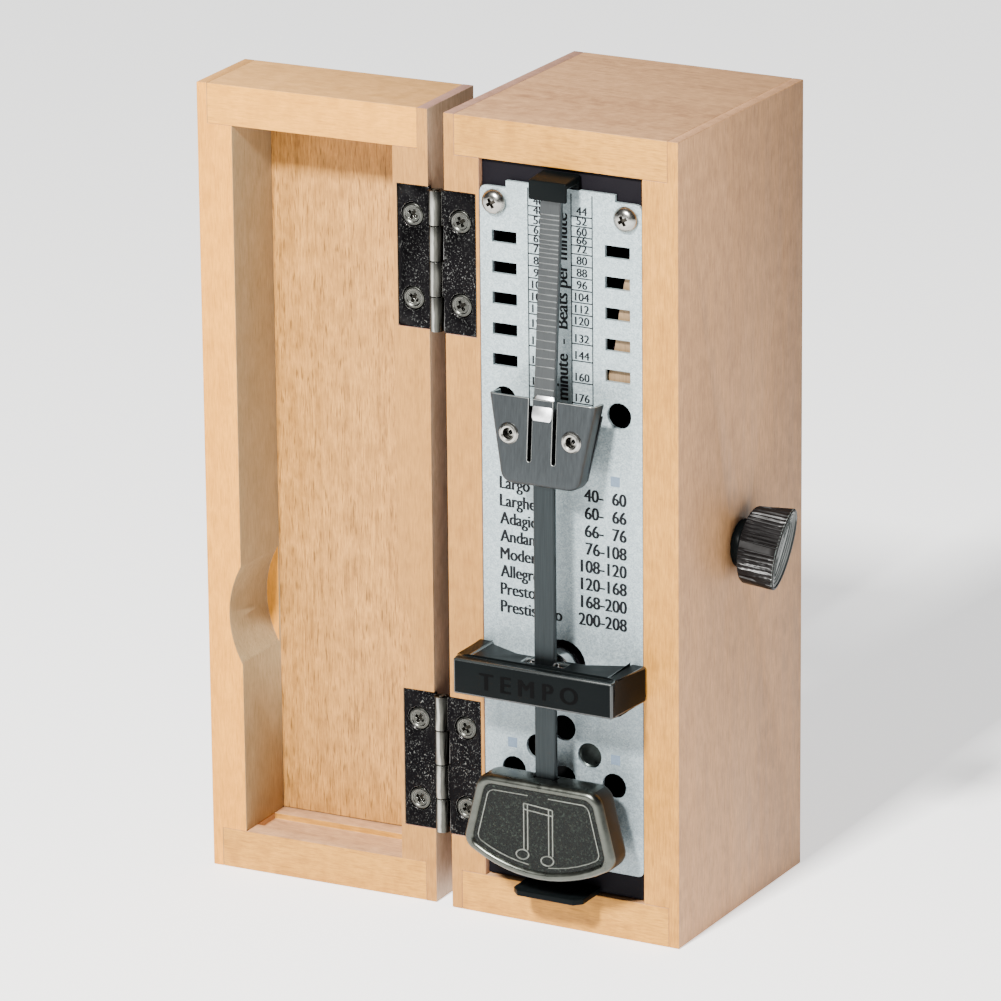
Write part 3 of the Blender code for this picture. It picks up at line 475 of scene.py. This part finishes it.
PALE, DARK = (0.50, 0.222, 0.032), (0.33, 0.138, 0.019)
LOOK = {
    "upright": wood("wood_upright_grain", PALE, DARK),
    # Painted light and shade: the case's left side and the lid's hinge stile are darker copies of the wood,
    # the lid's free stile and top rail lighter ones, standing in for light that falls unevenly across the
    # front; the beside tints of the two lid stiles paint the shade and bounced light on their faces towards
    # +X
    "left_side_shaded": wood("wood_left_upright_grain", (0.39, 0.180, 0.036), (0.30, 0.13, 0.024), seed=23.0),
    "hinge_stile_shaded": wood("wood_hinge_upright_grain", (0.365, 0.168, 0.036), (0.27, 0.12, 0.024), seed=31.0,
                          beside=(1.28, 1.95, 6.0)),
    "free_stile_lit": wood("wood_free_upright_grain", (0.64, 0.265, 0.024), (0.50, 0.20, 0.017), seed=37.0,
                         beside=(0.52, 0.92, 5.5)),
    "level": wood("wood_level_grain", (0.52, 0.238, 0.032), DARK, along="X", seed=17.0),
    "lid_rail_lit": wood("wood_pale_level_grain", (0.66, 0.285, 0.028), (0.54, 0.225, 0.02), along="X",
                       seed=41.0),
    "panel": wood("wood_panel_strong_grain", (0.48, 0.230, 0.054), (0.24, 0.108, 0.024), fleck=0.85,
                  seed=53.0, streak=0.75, pitch=1.3),
    "batten": wood("wood_batten_grain", (0.21, 0.14, 0.075), (0.18, 0.11, 0.055), seed=71.0),
    "plate": satin_silver("scale_silver"),
    # Painted highlight: the plate's bevelled edges take this brighter silver
    "plate_edge_highlight": metal("scale_edge_painted_highlight", (0.66, 0.68, 0.69), 0.34, seed=3.0),
    "ink": ink("scale_ink", (0.0035, 0.004, 0.005)),
    "blue_ink": ink("scale_blue_ink", (0.085, 0.115, 0.155)),
    "nickel": metal("nickel_plate", (0.33, 0.325, 0.30), 0.24, seed=1.0),
    # Painted reflection: the leaves get a near-black base colour that stands in for the dark surroundings
    # the nickel mirrors
    "leaf": metal("nickel_leaf_painted_dark_reflection", (0.0044, 0.0041, 0.0046), 0.34, speck=0.7,
                  speck_tint=(0.21, 0.215, 0.205), seed=2.0),
    # Painted highlight down the middle of the hinge barrel
    "barrel": knuckle_metal("nickel_barrel_painted_highlight", (0.36, 0.36, 0.33), (0.07, 0.07, 0.062),
                            (0.018, 0.018, 0.016)),
    # Painted reflection: the screws' dark base colour stands in for the dark surroundings they mirror
    "screw": metal("screw_nickel", (0.055, 0.056, 0.05), 0.3, seed=8.0),
    # Painted shade: cross recesses and the bores of the rivets take these darker metals
    "recess": metal("screw_recess_painted_shade", (0.016, 0.015, 0.012), 0.5, seed=9.0),
    "soft_recess_shade": metal("screw_soft_recess", (0.05, 0.045, 0.038), 0.45, seed=10.0),
    "chrome": metal("bright_chrome", (0.50, 0.51, 0.51), 0.16, spread=0.06, deep=0.004, seed=4.0),
    # Painted highlight: bevelled edges take this brighter metal
    "bright": metal("bright_painted_highlight_edge", (0.30, 0.31, 0.30), 0.34, seed=5.0),
    "relief": metal("bob_raised_line", (0.19, 0.20, 0.18), 0.34, seed=17.0),
    "tab": metal("bright_spring_tab", (0.85, 0.86, 0.88), 0.38, spread=0.06, seed=7.0),
    # Painted reflection: the rod, the weight's plates and the bob get base colours far darker than bare
    # steel and nickel, standing in for the dark surroundings they mirror
    "rod": metal("rod_brushed_steel", (0.026, 0.031, 0.033), 0.38, (4200, 4200, 110), spread=0.16,
                 seed=12.0, upper=(0.069, 0.074, 0.076)),
    # Painted highlight: the notches' faces take this brighter steel, for the light they catch
    "rod_mark_highlight": metal("rod_notch_painted_highlight", (0.20, 0.21, 0.21), 0.4, seed=13.0),
    "weight": metal("weight_steel", (0.042, 0.047, 0.050), 0.40, (2600, 1200, 300), spread=0.1, seed=14.0),
    "back": metal("weight_dark_plate", (0.022, 0.024, 0.026), 0.42, (2600, 1200, 300), seed=15.0),
    "bob": metal("bob_nickel", (0.082, 0.087, 0.076), 0.30, (500, 500, 500), seed=16.0),
    # Painted shade: the bob's side faces are darker than its front
    "bob_side_shaded": metal("bob_dull_painted_shade_side", (0.026, 0.026, 0.024), 0.52, (500, 500, 500), seed=19.0),
    "bob_face": pebbled("bob_pebbled_face", (0.0022, 0.0032, 0.0027), (0.027, 0.037, 0.029)),
    "black": plastic("black_gloss_plastic", (0.0022, 0.0029, 0.0031), 0.34, shine=0.03),
    # Painted highlight: the bar's rounded edges take this lighter, glossier black
    "black_edge_highlight": plastic("black_painted_highlight_edge", (0.010, 0.012, 0.012), 0.24, shine=0.55),
    "frame": plastic("black_satin_plastic", (0.0042, 0.0037, 0.0050), 0.5, shine=0.04),
    # Painted shade: dark sheets behind the plate and the bar's letters take this near-black
    "dark": plastic("painted_shade_dark", (0.0015, 0.0015, 0.0016), 0.8, shine=0.03),
    "knob": plastic("knob_plastic", (0.0040, 0.0034, 0.0034), 0.32, grain=900, shine=0.13),
    "lens": plastic("knob_glossy_end", (0.05, 0.058, 0.056), 0.22, grain=700, shine=0.5, coat=0.3),
    "disc": metal("damper_grey_disc", (0.040, 0.047, 0.045), 0.32, seed=18.0),
    "brass": metal("movement_brass", (0.72, 0.54, 0.24), 0.30, seed=20.0),
    "steel": metal("movement_steel", (0.40, 0.40, 0.39), 0.32, seed=22.0),
}
INNER_LOOKS = {"movement_brass": "brass", "movement_steel": "steel", "black_plastic": "frame",
               "rod_steel": "steel", "hinge_metal": "barrel", "knob_plastic": "knob"}


# Pieces

def swung(body):
    """Carries a piece made on the shut lid round the hinge to where the lid stands open."""
    axis = Matrix.Translation((HINGE_X * MM, HINGE_Y * MM, 0))
    turn = axis @ Matrix.Rotation(math.radians(-LID_OPEN), 4, "Z") @ axis.inverted()
    bmesh.ops.transform(body, matrix=turn, verts=body.verts)
    return body


def make_wood():
    # The case's left side and the lid's stiles and top rail take lit and shaded copies of the wood: painted
    # light and shade
    for node, look in (("case_left_side", "left_side_shaded"), ("case_right_side", "upright"),
                       ("case_back", "upright"), ("lid_hinge_stile", "hinge_stile_shaded"),
                       ("lid_free_stile", "free_stile_lit"), ("case_top", "level"),
                       ("case_bottom", "level"), ("lid_top_rail", "lid_rail_lit"),
                       ("lid_bottom_rail", "level"), ("lid_panel", "panel")):
        refined(node, LOOK[look], WOOD_EDGE, WOOD_SWELL)


def cross(centre, reach, low, high):
    """A cross recess that narrows as it goes in from low to high along Y."""
    rings = []
    for share, place in ((1.0, low), (0.45, high)):
        a, b = reach * share, 0.28 * reach * (0.6 + 0.4 * share)
        corners = ((a, -b), (a, b), (b, b), (b, a), (-b, a), (-b, b), (-a, b), (-a, -b), (-b, -b),
                   (-b, -a), (b, -a), (b, -b))
        askew = [(centre[0] + u * math.cos(0.5) - v * math.sin(0.5),
                  centre[1] + u * math.sin(0.5) + v * math.cos(0.5)) for u, v in corners]
        rings.append(ring("Y", askew, place))
    return skin(rings)


def make_hinges():
    """The leaves and their countersunk screws, whose profile runs from the flat head inwards."""
    profile = ((0.5, 0.16), (1.45, 0.16), (1.52, 0.10), (1.72, 0.0), (1.95, 0.05), (2.15, 0.14),
               (1.1, 1.0), (1.1, 5.5), (0.3, 6.5))
    recess_r, head_depth = 1.4, 0.165
    for level, low in LEAF_LOWS:
        for side, face, into in (("case", FRONT, 1), ("lid", LID_RIM, -1)):
            node = f"{level}_hinge_{side}_leaf"
            # Painted highlight: the faces round the hinge's axis take the barrel look, and the bevelled
            # edges the bright nickel look
            leaf = marked(from_node(node),
                          lambda x, y, z: math.hypot(x - HINGE_X, y - HINGE_Y) < BARREL_R)
            piece(f"{node}_finished", leaf, LOOK["leaf"], (node,), edge=0.13, segments=2,
                  others=(LOOK["barrel"], LOOK["nickel"]), rim=2)
            for end, rise in (("low", -LEAF_SCREW_RISE), ("high", LEAF_SCREW_RISE)):
                centre = (LEAF_SCREW_X, low + LEAF_H / 2 + rise)
                body = turned("Y", centre, [(r, face + into * t) for r, t in profile])
                body = carved(body, cross(centre, recess_r, face - into * 0.3, face + into * 0.8))
                # Painted shade: the cross recess takes the dark recess look
                marked(body, lambda x, y, z: math.hypot(x - centre[0], z - centre[1]) < recess_r
                       and (y - face) * into > head_depth)
                node = f"{level}_hinge_{side}_screw_{end}"
                # Painted highlight: the screws' bevelled edges take the bright nickel look
                piece(f"{node}_finished", swung(body) if side == "lid" else body, LOOK["screw"], (node,),
                      edge=0.07, segments=2, others=(LOOK["recess"], LOOK["nickel"]), rim=2)


def make_plate():
    # The plate's bevelled edges take the brighter edge look, a painted highlight
    refined("scale_plate", LOOK["plate"], 0.16, others=(LOOK["plate_edge_highlight"],), rim=1)
    refined("chassis_frame", LOOK["frame"], 0.15)
    refined("latch_tongue", LOOK["black"], 0.2)
    refined("pendulum_holder", LOOK["black"], 0.3)
    domed = ((0.6, -1.7), (1.3, -1.62), (1.9, -1.36), (2.3, -0.95), (2.5, -0.5), (2.45, -0.25),
             (1.1, -0.25), (1.1, 6.0))
    for tag, sign in (("left", -1), ("right", 1)):
        centre = (sign * PLATE_SCREW_X, PLATE_SCREW_Z)
        body = turned("Y", centre, [(r, FRONT + t) for r, t in domed], 40)
        body = carved(body, cross(centre, 1.25, FRONT - 2.0, FRONT - 0.9))
        # Painted shade: the cross recess takes the darker recess look
        marked(body, lambda x, y, z: math.hypot(x - centre[0], z - centre[1]) < 1.3
               and FRONT - 1.52 < y < FRONT - 0.6)
        piece(f"plate_screw_{tag}_finished", body, LOOK["nickel"], (f"plate_screw_{tag}",), edge=0.06,
              segments=2, others=(LOOK["soft_recess_shade"],))
    disc = ((0.3, 0.75), (2.2, 0.75), (2.45, 0.55), (2.5, 1.2))
    piece("damper_disc", turned("Y", DISC_SPOT, [(r, FRONT + t) for r, t in disc]), LOOK["disc"],
          on="case")
    # Painted shade: two dark sheets behind the plate stand in for the shade inside the case, seen through
    # its slots and holes
    screens = [box((-14.4, 14.4), (FRONT + 6.5, FRONT + 6.9), z) for z in ((62.2, 139.8), (16.2, 47.8))]
    piece("chassis_painted_shade_screens", joined(screens), LOOK["dark"], on="case")
    batten = ((8.9, 111.0), (14.4, 109.0), (14.4, 137.0), (13.9, 136.5), (12.6, 130.7), (11.5, 124.7),
              (10.7, 118.6))
    piece("sounding_batten", prism("Y", batten, FRONT + 1.4, FRONT + 2.6), LOOK["batten"], on="case",
          edge=0.15)


def mark_height(beats):
    """How high the weight stands on the scale for a number of beats per minute."""
    pace = (math.pi * beats / 60) ** 2
    root = math.sqrt(GRAVITY ** 2 - 4 * pace * (pace * INERTIA - GRAVITY * BALANCE))
    return PIVOT_Z + (root - GRAVITY) / (2 * pace)


def lettering(text):
    """A word as a flat body in X and Z, at the font's own size, with its width."""
    font = bpy.data.curves.new("word", "FONT")
    font.body, font.extrude, font.resolution_u = text, 0.004, 4
    thing = bpy.data.objects.new("word", font)
    bpy.context.scene.collection.objects.link(thing)
    seen = thing.evaluated_get(bpy.context.evaluated_depsgraph_get())
    body = bmesh.new()
    body.from_mesh(seen.to_mesh())
    seen.to_mesh_clear()
    bpy.data.objects.remove(thing)
    bpy.data.curves.remove(font)
    bmesh.ops.remove_doubles(body, verts=body.verts, dist=1e-5)
    low = min(v.co.x for v in body.verts)
    high = max(v.co.x for v in body.verts)
    bmesh.ops.transform(body, matrix=Matrix(((1, 0, 0, -low), (0, 0, -1, 0), (0, 1, 0, 0), (0, 0, 0, 1))),
                        verts=body.verts)
    return body, high - low


def capital_height():
    body = lettering("H")[0]
    height = max(v.co.z for v in body.verts)
    body.free()
    return height


CAP = capital_height()


def printed(text, x, z, cap, wide=1.0, hold="left", bold=0.05, upward=False):
    """A printed word on the plate: x is its left end, middle or right end, z its base line.

    Its capitals are cap high, and its strokes grow by bold to either side.
    """
    copies = []
    for step in (-1, 0, 1):
        body, width = lettering(text)
        size = cap / CAP
        shift = {"left": 0.0, "middle": -0.5, "right": -1.0}[hold] * width
        fit = Matrix.Diagonal((size * wide * MM, MM, size * MM, 1)) @ Matrix.Translation((shift, 0, 0))
        turn = Matrix.Rotation(math.radians(-90), 4, "Y") if upward else Matrix.Identity(4)
        aside = (0, step * bold) if upward else (step * bold, 0)
        spot = (x + aside[0], PRINT_FACE - step * 0.002, z + aside[1])
        place = Matrix.Translation(Vector(spot) * MM)
        bmesh.ops.transform(body, matrix=place @ turn @ fit, verts=body.verts)
        copies.append(body)
    return joined(copies)


def make_print():
    marks = []
    for column, beats in ((LEFT_COLUMN, LEFT_MARKS), (RIGHT_COLUMN, RIGHT_MARKS)):
        for x in column:
            marks.append(box((x - LINE_HALF, x + LINE_HALF), FILM, (SCALE_LOW, SCALE_HIGH)))
        for beat in beats:
            z = mark_height(beat)
            marks.append(box(column, FILM, (z - LINE_HALF, z + LINE_HALF)))
            marks.append(printed(str(beat), sum(column) / 2, z + 0.32, 1.58, 1.0, "middle", 0.075))
    for row, (word, span) in enumerate(TEMPI):
        z = TEMPO_TOP - row * TEMPO_PITCH - 1.15
        marks.append(printed(word, -13.4, z, 2.42, 0.82, "left", 0.135))
        marks.append(printed(span, 13.7, z, 2.46, 0.87, "right", 0.135))
    unit = "Beats per minute"
    marks.append(printed(f"{unit}  -  {unit}", 1.45, 93.5, 2.5, 0.90, "left", 0.125, True))
    piece("scale_print", joined(marks), LOOK["ink"], on="case")
    squares = [box((x - 1, x + 1), FILM, (z - 1, z + 1)) for x, z in SQUARES]
    piece("scale_print_squares", joined(squares), LOOK["blue_ink"], on="case")


def make_bridge():
    """The bar with its rounded edges, its word, and two bright wire loops beside the rod that stand in for
    the lit edges of the slot there, a painted highlight.

    Tiny steps of the CAD shape are merged first, and only its long edges are rounded.
    """
    step, flat, crease, shortest, radius = 0.06, 2.5, 28, 0.9, 0.42
    body = from_node("pivot_bridge")
    bmesh.ops.remove_doubles(body, verts=body.verts, dist=step * MM)
    bmesh.ops.dissolve_limit(body, angle_limit=math.radians(flat), verts=body.verts, edges=body.edges)
    creases = [edge for edge in body.edges if edge.is_manifold and edge.calc_length() > shortest * MM
               and edge.calc_face_angle() > math.radians(crease)]
    # Painted highlight: the rounded edges take the black edge look
    bmesh.ops.bevel(body, geom=creases, offset=radius * MM, offset_type="OFFSET", segments=3,
                    profile=0.5, affect="EDGES", clamp_overlap=False, material=1)
    piece("pivot_bridge_finished", body, LOOK["black"], ("pivot_bridge",), others=(LOOK["black_edge_highlight"],))
    # Painted shade: the word is a thin raised film in the dark look, standing in for the shade in engraved
    # letters
    word = printed("T E M P O", -0.8, 51.0, 3.3, 1.02, "middle", 0.17)
    thicker = 8
    for v in word.verts:
        v.co.y = (BRIDGE_FRONT + (v.co.y / MM - PRINT_FACE) * thicker) * MM
    piece("bridge_lettering", word, LOOK["dark"], on="case")
    # Painted highlight: the two chrome loops stand in for the lit edges of the slot beside the rod
    loops = []
    for side in (-2.95, 2.95):
        arch = [(side + 0.55 * math.cos(a), ROD_FRONT - 0.8 + 0.4 * math.sin(a),
                 BRIDGE_HIGH + 0.05 + 0.5 * math.sin(a)) for a in (k * math.pi / 8 for k in range(9))]
        loops.append(bead(arch, 0.17))
    piece("bridge_highlight_wire_loops", joined(loops), LOOK["chrome"], on="case")


def rod_face(z):
    """Y of the rod's front at a height."""
    return ROD_FRONT + ROD_LEAN * max(0.0, z - BEND_Z)


def make_rod():
    """The pendulum rod, with a notch across its front at every mark of the scale."""
    heights = sorted(mark_height(beat) for beat in LEFT_MARKS + RIGHT_MARKS)
    front = [(ROD_LOW, 0.0), (BEND_Z, 0.0), (ROD_TOP, 0.0)]
    for z in heights:
        front += [(z + dz, deep) for dz, deep in ((-0.15, 0), (-0.06, 0.12), (0.04, 0.12), (0.15, 0))]
    rows = []
    for z, deep in sorted(front):
        y, back = rod_face(z) + deep, rod_face(z) + ROD_T
        rows.append([(-ROD_HALF + 0.2, y, z), (ROD_HALF - 0.2, y, z), (ROD_HALF, y + 0.2, z),
                     (ROD_HALF, back, z), (-ROD_HALF, back, z), (-ROD_HALF, y + 0.2, z)])
    body = skin(rows)
    # Painted highlight: the notches' front faces take the bright mark look
    marked(body, lambda x, y, z: abs(x) < 1 and y < rod_face(z) + 0.3
           and any(abs(z - h) < 0.12 for h in heights))
    piece("pendulum_rod_finished", body, LOOK["rod"], ("pendulum_rod",), others=(LOOK["rod_mark_highlight"],))
    refined("pivot_collar", LOOK["chrome"], 0.3)


def bob_corners():
    """The bob's face, anticlockwise from its lower left: a round underside and a narrower top."""
    half_low, half_high, low, high, sag = 16.7, 13.0, 18.4, 33.2, 5.2
    arc = [(s * half_low, low - sag * (1 - s * s)) for s in (-1, *(i / 7 - 1 for i in range(2, 13)), 1)]
    corners = [*arc, (half_high, high), (-half_high, high)]
    radii = [2.9] + [0.0] * 11 + [2.9, 3.2, 3.2]
    return corners, radii


def bob_ring(inset, y):
    """The bob's outline, drawn in by inset, at a depth."""
    corners, radii = bob_corners()
    smaller = [max(r - inset * 0.5, 0.5) if r else 0.0 for r in radii]
    return ring("Y", filleted(shrunk(corners, inset), smaller), y)


def make_bob():
    steps = ((1.2, BOB_BACK), (0.5, BOB_BACK - 0.3), (0.15, BOB_BACK - 0.8), (0.0, BOB_BACK - 1.6),
             (0.0, BOB_FRONT + 1.5), (0.1, BOB_FRONT + 0.9), (0.35, BOB_FRONT + 0.4),
             (0.7, BOB_FRONT + 0.12), (1.1, BOB_FRONT), (1.45, BOB_FRONT + 0.06),
             (1.75, BOB_FRONT + 0.3), (1.95, BOB_FRONT + 0.7))
    body = skin([bob_ring(inset, y) for inset, y in steps])
    play = 0.3
    way = box((-ROD_HALF - play, ROD_HALF + play), (ROD_FRONT - play, ROD_FRONT + ROD_T + play),
              (ROD_LOW - play, 40))
    # Painted shade: the side faces take the darker side look
    body = marked(carved(body, way), lambda x, y, z: y > BOB_FRONT + 1.2 and z < 33)
    piece("pendulum_bob_finished", body, LOOK["bob"], ("pendulum_bob",), others=(LOOK["bob_side_shaded"],))
    floor = BOB_FRONT + 0.68
    face = skin([bob_ring(1.85, floor + 0.1), bob_ring(1.95, floor - 0.08), bob_ring(2.5, floor - 0.08)])
    piece("bob_sunken_face", face, LOOK["bob_face"], on="pendulum")
    make_bob_relief(floor - 0.08)


def bead(points, radius, cyclic=False):
    """A round line through points that lie near a plane square to Y."""
    rows = []
    count = len(points)
    for i, here in enumerate(points):
        before = points[i - 1] if i or cyclic else here
        after = points[(i + 1) % count] if i < count - 1 or cyclic else here
        run = (Vector(after) - Vector(before)).normalized()
        side = Vector((0, 1, 0)).cross(run).normalized()
        rows.append([Vector(here) + (side * math.cos(a) + Vector((0, -1, 0)) * math.sin(a)) * radius
                     for a in (k * math.pi / 4 for k in range(8))])
    return skin(rows, loop=cyclic)


def make_bob_relief(floor):
    """The bead round the sunken face, and a plain pair of notes in its middle."""
    beads, middle_z = [], 24
    for sign in (-1, 1):
        half = [p for p in bob_ring(2.9, floor) if p[0] * sign > 2.0]
        half.sort(key=lambda p: -math.atan2(p[2] - middle_z, p[0] * sign))
        beads.append(bead([(sign * 2.2, floor, half[0][2])] + half[1:], 0.14))
    for x, low_z, high_z in ((-2.7, 17.9, 28.6), (2.7, 17.4, 28.1)):
        for side in (-0.42, 0.42):
            beads.append(bead([(x + side, floor, low_z + 1.2), (x + side, floor, high_z)], 0.15))
        u, v = x - 0.75, low_z + 0.2
        turns = [k * math.pi / 10 for k in range(20)]
        oval = [(u + 1.35 * math.cos(a) - 0.2 * math.sin(a), floor,
                 v + 0.95 * math.sin(a) + 0.25 * math.cos(a)) for a in turns]
        beads.append(bead(oval, 0.17, cyclic=True))
    beam = ((-3.1, 28.6), (3.1, 28.1), (3.1, 26.9), (-3.1, 27.4))
    beads.append(bead([(x, floor, z) for x, z in beam], 0.16, cyclic=True))
    piece("bob_raised_relief", joined(beads), LOOK["relief"], on="pendulum")


def leant(body):
    """Carries a piece made upright, with the rod's face at Y 0 and its bend at Z 0, onto the rod."""
    lean = Matrix.Rotation(-math.atan(ROD_LEAN), 4, "X")
    place = Matrix.Translation((0, ROD_FRONT * MM, BEND_Z * MM)) @ lean
    bmesh.ops.transform(body, matrix=place, verts=body.verts)
    return body


def make_weight():
    """The bent front plate, its spring tab, the back plate and the two hollow rivets."""
    low, high = -9.0, 8.0
    outline = [(-8.1, low), (8.1, low), (11.9, high + 3), (-11.9, high + 3)]
    steps = ((1.2, -1.15), (0.7, -1.08), (0.3, -0.85), (0.08, -0.5), (0.0, 0.0), (0.0, 2.9))
    body = skin([ring("Y", filleted(shrunk(outline, inset), [2.4 - inset, 2.4 - inset, 0.5, 0.5]), y)
                 for inset, y in steps])
    inside = prism("Y", filleted(shrunk(outline, 0.55), [1.9, 1.9, 0, 0]), -0.45, 4)
    bmesh.ops.translate(inside, vec=(0, 0, 0.002 * MM), verts=inside.verts)
    cuts = [inside, box((-14, 14), (-3, 5), (high, high + 6))]
    cuts += [turned("Y", (s * EYELET_X, EYELET_Z), ((1.75, -3), (1.75, 4))) for s in (-1, 1)]
    tab_x, gap_half, gap_low = 0.4, 0.4, -4.3
    for s in (-1, 1):
        x = s * 2.6 + tab_x
        gap = filleted([(x - gap_half, gap_low), (x + gap_half, gap_low), (x + gap_half, high + 1),
                        (x - gap_half, high + 1)], [0.39, 0.39, 0, 0])
        cuts.append(prism("Y", gap, -3, 0.5))
    # Painted highlight: the front plate's bevelled edges take the bright edge look
    piece("weight_front_plate_finished", leant(carved(body, *cuts)), LOOK["weight"],
          ("weight_front_plate",), edge=0.12, segments=2, others=(LOOK["bright"],), rim=1)
    rows = []
    for k in range(9):
        share = k / 8
        y, z = -1.65 + 1.25 * share ** 1.7, high - 4.0 + 4.6 * share
        half = 2.1 - 0.35 * (2 * share - 1) ** 6
        section = ((-half, 0.12), (-half + 0.25, 0), (half - 0.25, 0), (half, 0.12), (half, 0.45),
                   (-half, 0.45))
        rows.append([(tab_x + u, y + v, z) for u, v in section])
    piece("weight_spring_tab", leant(skin(rows)), LOOK["tab"], on="weight")
    # Painted highlight: the back plate's bevelled edges take the lighter steel of the front plate
    refined("weight_back_plate", LOOK["back"], 0.15, others=(LOOK["weight"],), rim=1)
    flange = ((0.95, -1.2), (1.1, -1.5), (1.45, -1.63), (1.85, -1.52), (2.1, -1.2), (2.1, -1.05),
              (1.5, -1.05), (1.5, ROD_T + 2.35), (0.95, ROD_T + 2.35))
    lining = ((0.45, -0.2), (0.8, -0.2), (0.93, 0.0), (0.93, 0.4), (0.45, 0.4))
    for tag, sign in (("left", -1), ("right", 1)):
        centre = (sign * EYELET_X, EYELET_Z)
        body = turned("Y", centre, flange, loop=True)
        # Painted shade: the bore of the hollow rivet takes the dark recess look
        marked(body, lambda x, y, z: math.hypot(x - centre[0], z - centre[1]) < 1.0 and y > -1.1)
        inner = turned("Y", centre, lining, loop=True)
        piece(f"weight_eyelet_{tag}_finished", leant(joined([body, inner])), LOOK["nickel"],
              (f"weight_eyelet_{tag}",), others=(LOOK["recess"],))


def knob_ring(x, share, inset=0.0, ribs=0.0, sides=480):
    """The knob's section: an oval near the case, a lens outside, ribbed on its wide faces."""
    long_r, short_r = 7.7 + 0.65 * share - inset, 5.8 - 2.5 * share - inset
    lean = math.radians(90 - KEY_LEAN)
    points = []
    for i in range(sides):
        turn = 2 * math.pi * i / sides
        u, v = long_r * math.cos(turn), short_r * math.sin(turn)
        plain = abs(u + 1.9) < 0.7 or abs(u) > long_r - 0.4
        deep = 0.0 if plain else ribs * min(1.0, 1.5 - 1.5 * math.cos(2 * math.pi * u / 0.78))
        scale = 1 - deep / math.hypot(u, v)
        u, v = u * scale, v * scale
        points.append((x, KEY_Y + u * math.cos(lean) - v * math.sin(lean),
                       KEY_Z + u * math.sin(lean) + v * math.cos(lean)))
    return points


def make_knob():
    near, far = 27.05, 34.35
    rows = [knob_ring(near, 0.0, 0.5), knob_ring(near + 0.2, 0.02, 0.12)]
    for k in range(7):
        share = k / 6
        rows.append(knob_ring(near + 0.35 + (far - near - 0.6) * share, share, 0.0, 0.3))
    rows += [knob_ring(far - 0.1, 1.0, 0.1), knob_ring(far, 1.0, 0.3), knob_ring(far, 1.0, 0.5)]
    rows += [knob_ring(far + rise, 1.0, inset) for inset, rise in
             ((0.6, -0.25), (1.1, -0.35), (1.25, -0.28), (1.4, -0.38), (1.8, -0.42), (1.95, -0.34),
              (2.1, -0.46), (2.5, -0.5), (2.65, -0.42), (2.8, -0.55))]
    bore = turned("X", (KEY_Y, KEY_Z), ((1.85, near - 1), (1.85, 32.3)))
    body = marked(carved(skin(rows), bore), lambda x, y, z: far - 0.6 < x < far - 0.1
                  and math.hypot(y - KEY_Y, z - KEY_Z) < 8)
    piece("key_knob_finished", body, LOOK["knob"], ("key_knob",), others=(LOOK["lens"],))
    refined("key_hub", LOOK["black"], 0.25)


def finish_inside():
    """Gives every CAD node that still shows the finish of its material slot."""
    refined("front_bearing", LOOK["frame"], 0.08)
    shown = {name for name, thing in frame["nodes"].items() if not thing.hide_render}
    for name in sorted(shown):
        for holder in frame["nodes"][name].material_slots:
            holder.link = "OBJECT"
            holder.material = LOOK[INNER_LOOKS[SLOT_OF[name]]]


# Surroundings

def make_floor():
    floor = bmesh.new()
    reach, drop = 20.0, 0.0002           # in metres
    floor.faces.new([floor.verts.new((x * reach, y * reach, -drop))
                     for x, y in ((-1, -1), (1, -1), (1, 1), (-1, 1))])
    mesh = bpy.data.meshes.new("pale_floor")
    floor.to_mesh(mesh)
    floor.free()
    finish = Finish("pale_floor")
    cloud = finish.noise((3, 3, 3), 2.0, 0.5)
    finish.shader.inputs["Emission Color"].default_value = (1, 1, 1, 1)
    finish.shader.inputs["Emission Strength"].default_value = 1.2
    mesh.materials.append(finish.done(finish.mixed(cloud, (0.90, 0.90, 0.90), (0.92, 0.92, 0.92)),
                                      finish.between(cloud, 0, 1, 0.75, 0.85)))
    made = bpy.data.objects.new("pale_floor", mesh)
    bpy.context.scene.collection.objects.link(made)


def lamp(name, azimuth, elevation, distance, size, power, tint=(1, 1, 1)):
    """A soft square light aimed at the middle of the object; azimuth 0 is straight in front."""
    light = bpy.data.lights.new(name, "AREA")
    light.shape, light.size, light.energy, light.color = "SQUARE", size, power, tint
    made = bpy.data.objects.new(name, light)
    bpy.context.scene.collection.objects.link(made)
    a, e = math.radians(azimuth), math.radians(elevation)
    away = Vector((math.sin(a) * math.cos(e), -math.cos(a) * math.cos(e), math.sin(e)))
    made.location = Vector((0, -0.02, 0.08)) + away * distance
    made.rotation_euler = away.to_track_quat("Z", "Y").to_euler()


def make_light():
    """One soft lamp high in front, and a dim even sky; the floor's glow fills the rest."""
    lamp("key_light", -2, 40, 1.3, 0.14, 65.0, (1.0, 0.99, 0.96))
    world = bpy.data.worlds.new("studio")
    world.use_nodes = True
    world.node_tree.nodes["Background"].inputs["Color"].default_value = (0.97, 0.985, 1.0, 1)
    world.node_tree.nodes["Background"].inputs["Strength"].default_value = 0.12
    bpy.context.scene.world = world


def make_camera():
    """The camera's place comes from its angles about the target; the roll tips its picture."""
    a, e, r = (math.radians(CAMERA[key]) for key in ("azimuth", "elevation", "roll"))
    back = Vector((math.sin(a) * math.cos(e), -math.cos(a) * math.cos(e), math.sin(e)))
    right = Vector((math.cos(a), math.sin(a), 0))
    up = back.cross(right)
    across = right * math.cos(r) + up * math.sin(r)
    above = up * math.cos(r) - right * math.sin(r)
    lens = bpy.data.cameras.new("camera")
    lens.lens, lens.sensor_width = CAMERA["lens"], 36.0
    lens.clip_start, lens.clip_end = 0.05, 50
    made = bpy.data.objects.new("camera", lens)
    bpy.context.scene.collection.objects.link(made)
    turn = Matrix((across, above, back)).transposed().to_4x4()
    spot = (Vector(CAMERA["target"]) + back * CAMERA["distance"]) * MM
    made.matrix_world = Matrix.Translation(spot) @ turn
    bpy.context.scene.camera = made


make_camera()
make_wood()
make_hinges()
make_plate()
make_print()
make_bridge()
make_rod()
make_bob()
make_weight()
make_knob()
finish_inside()
make_floor()
make_light()
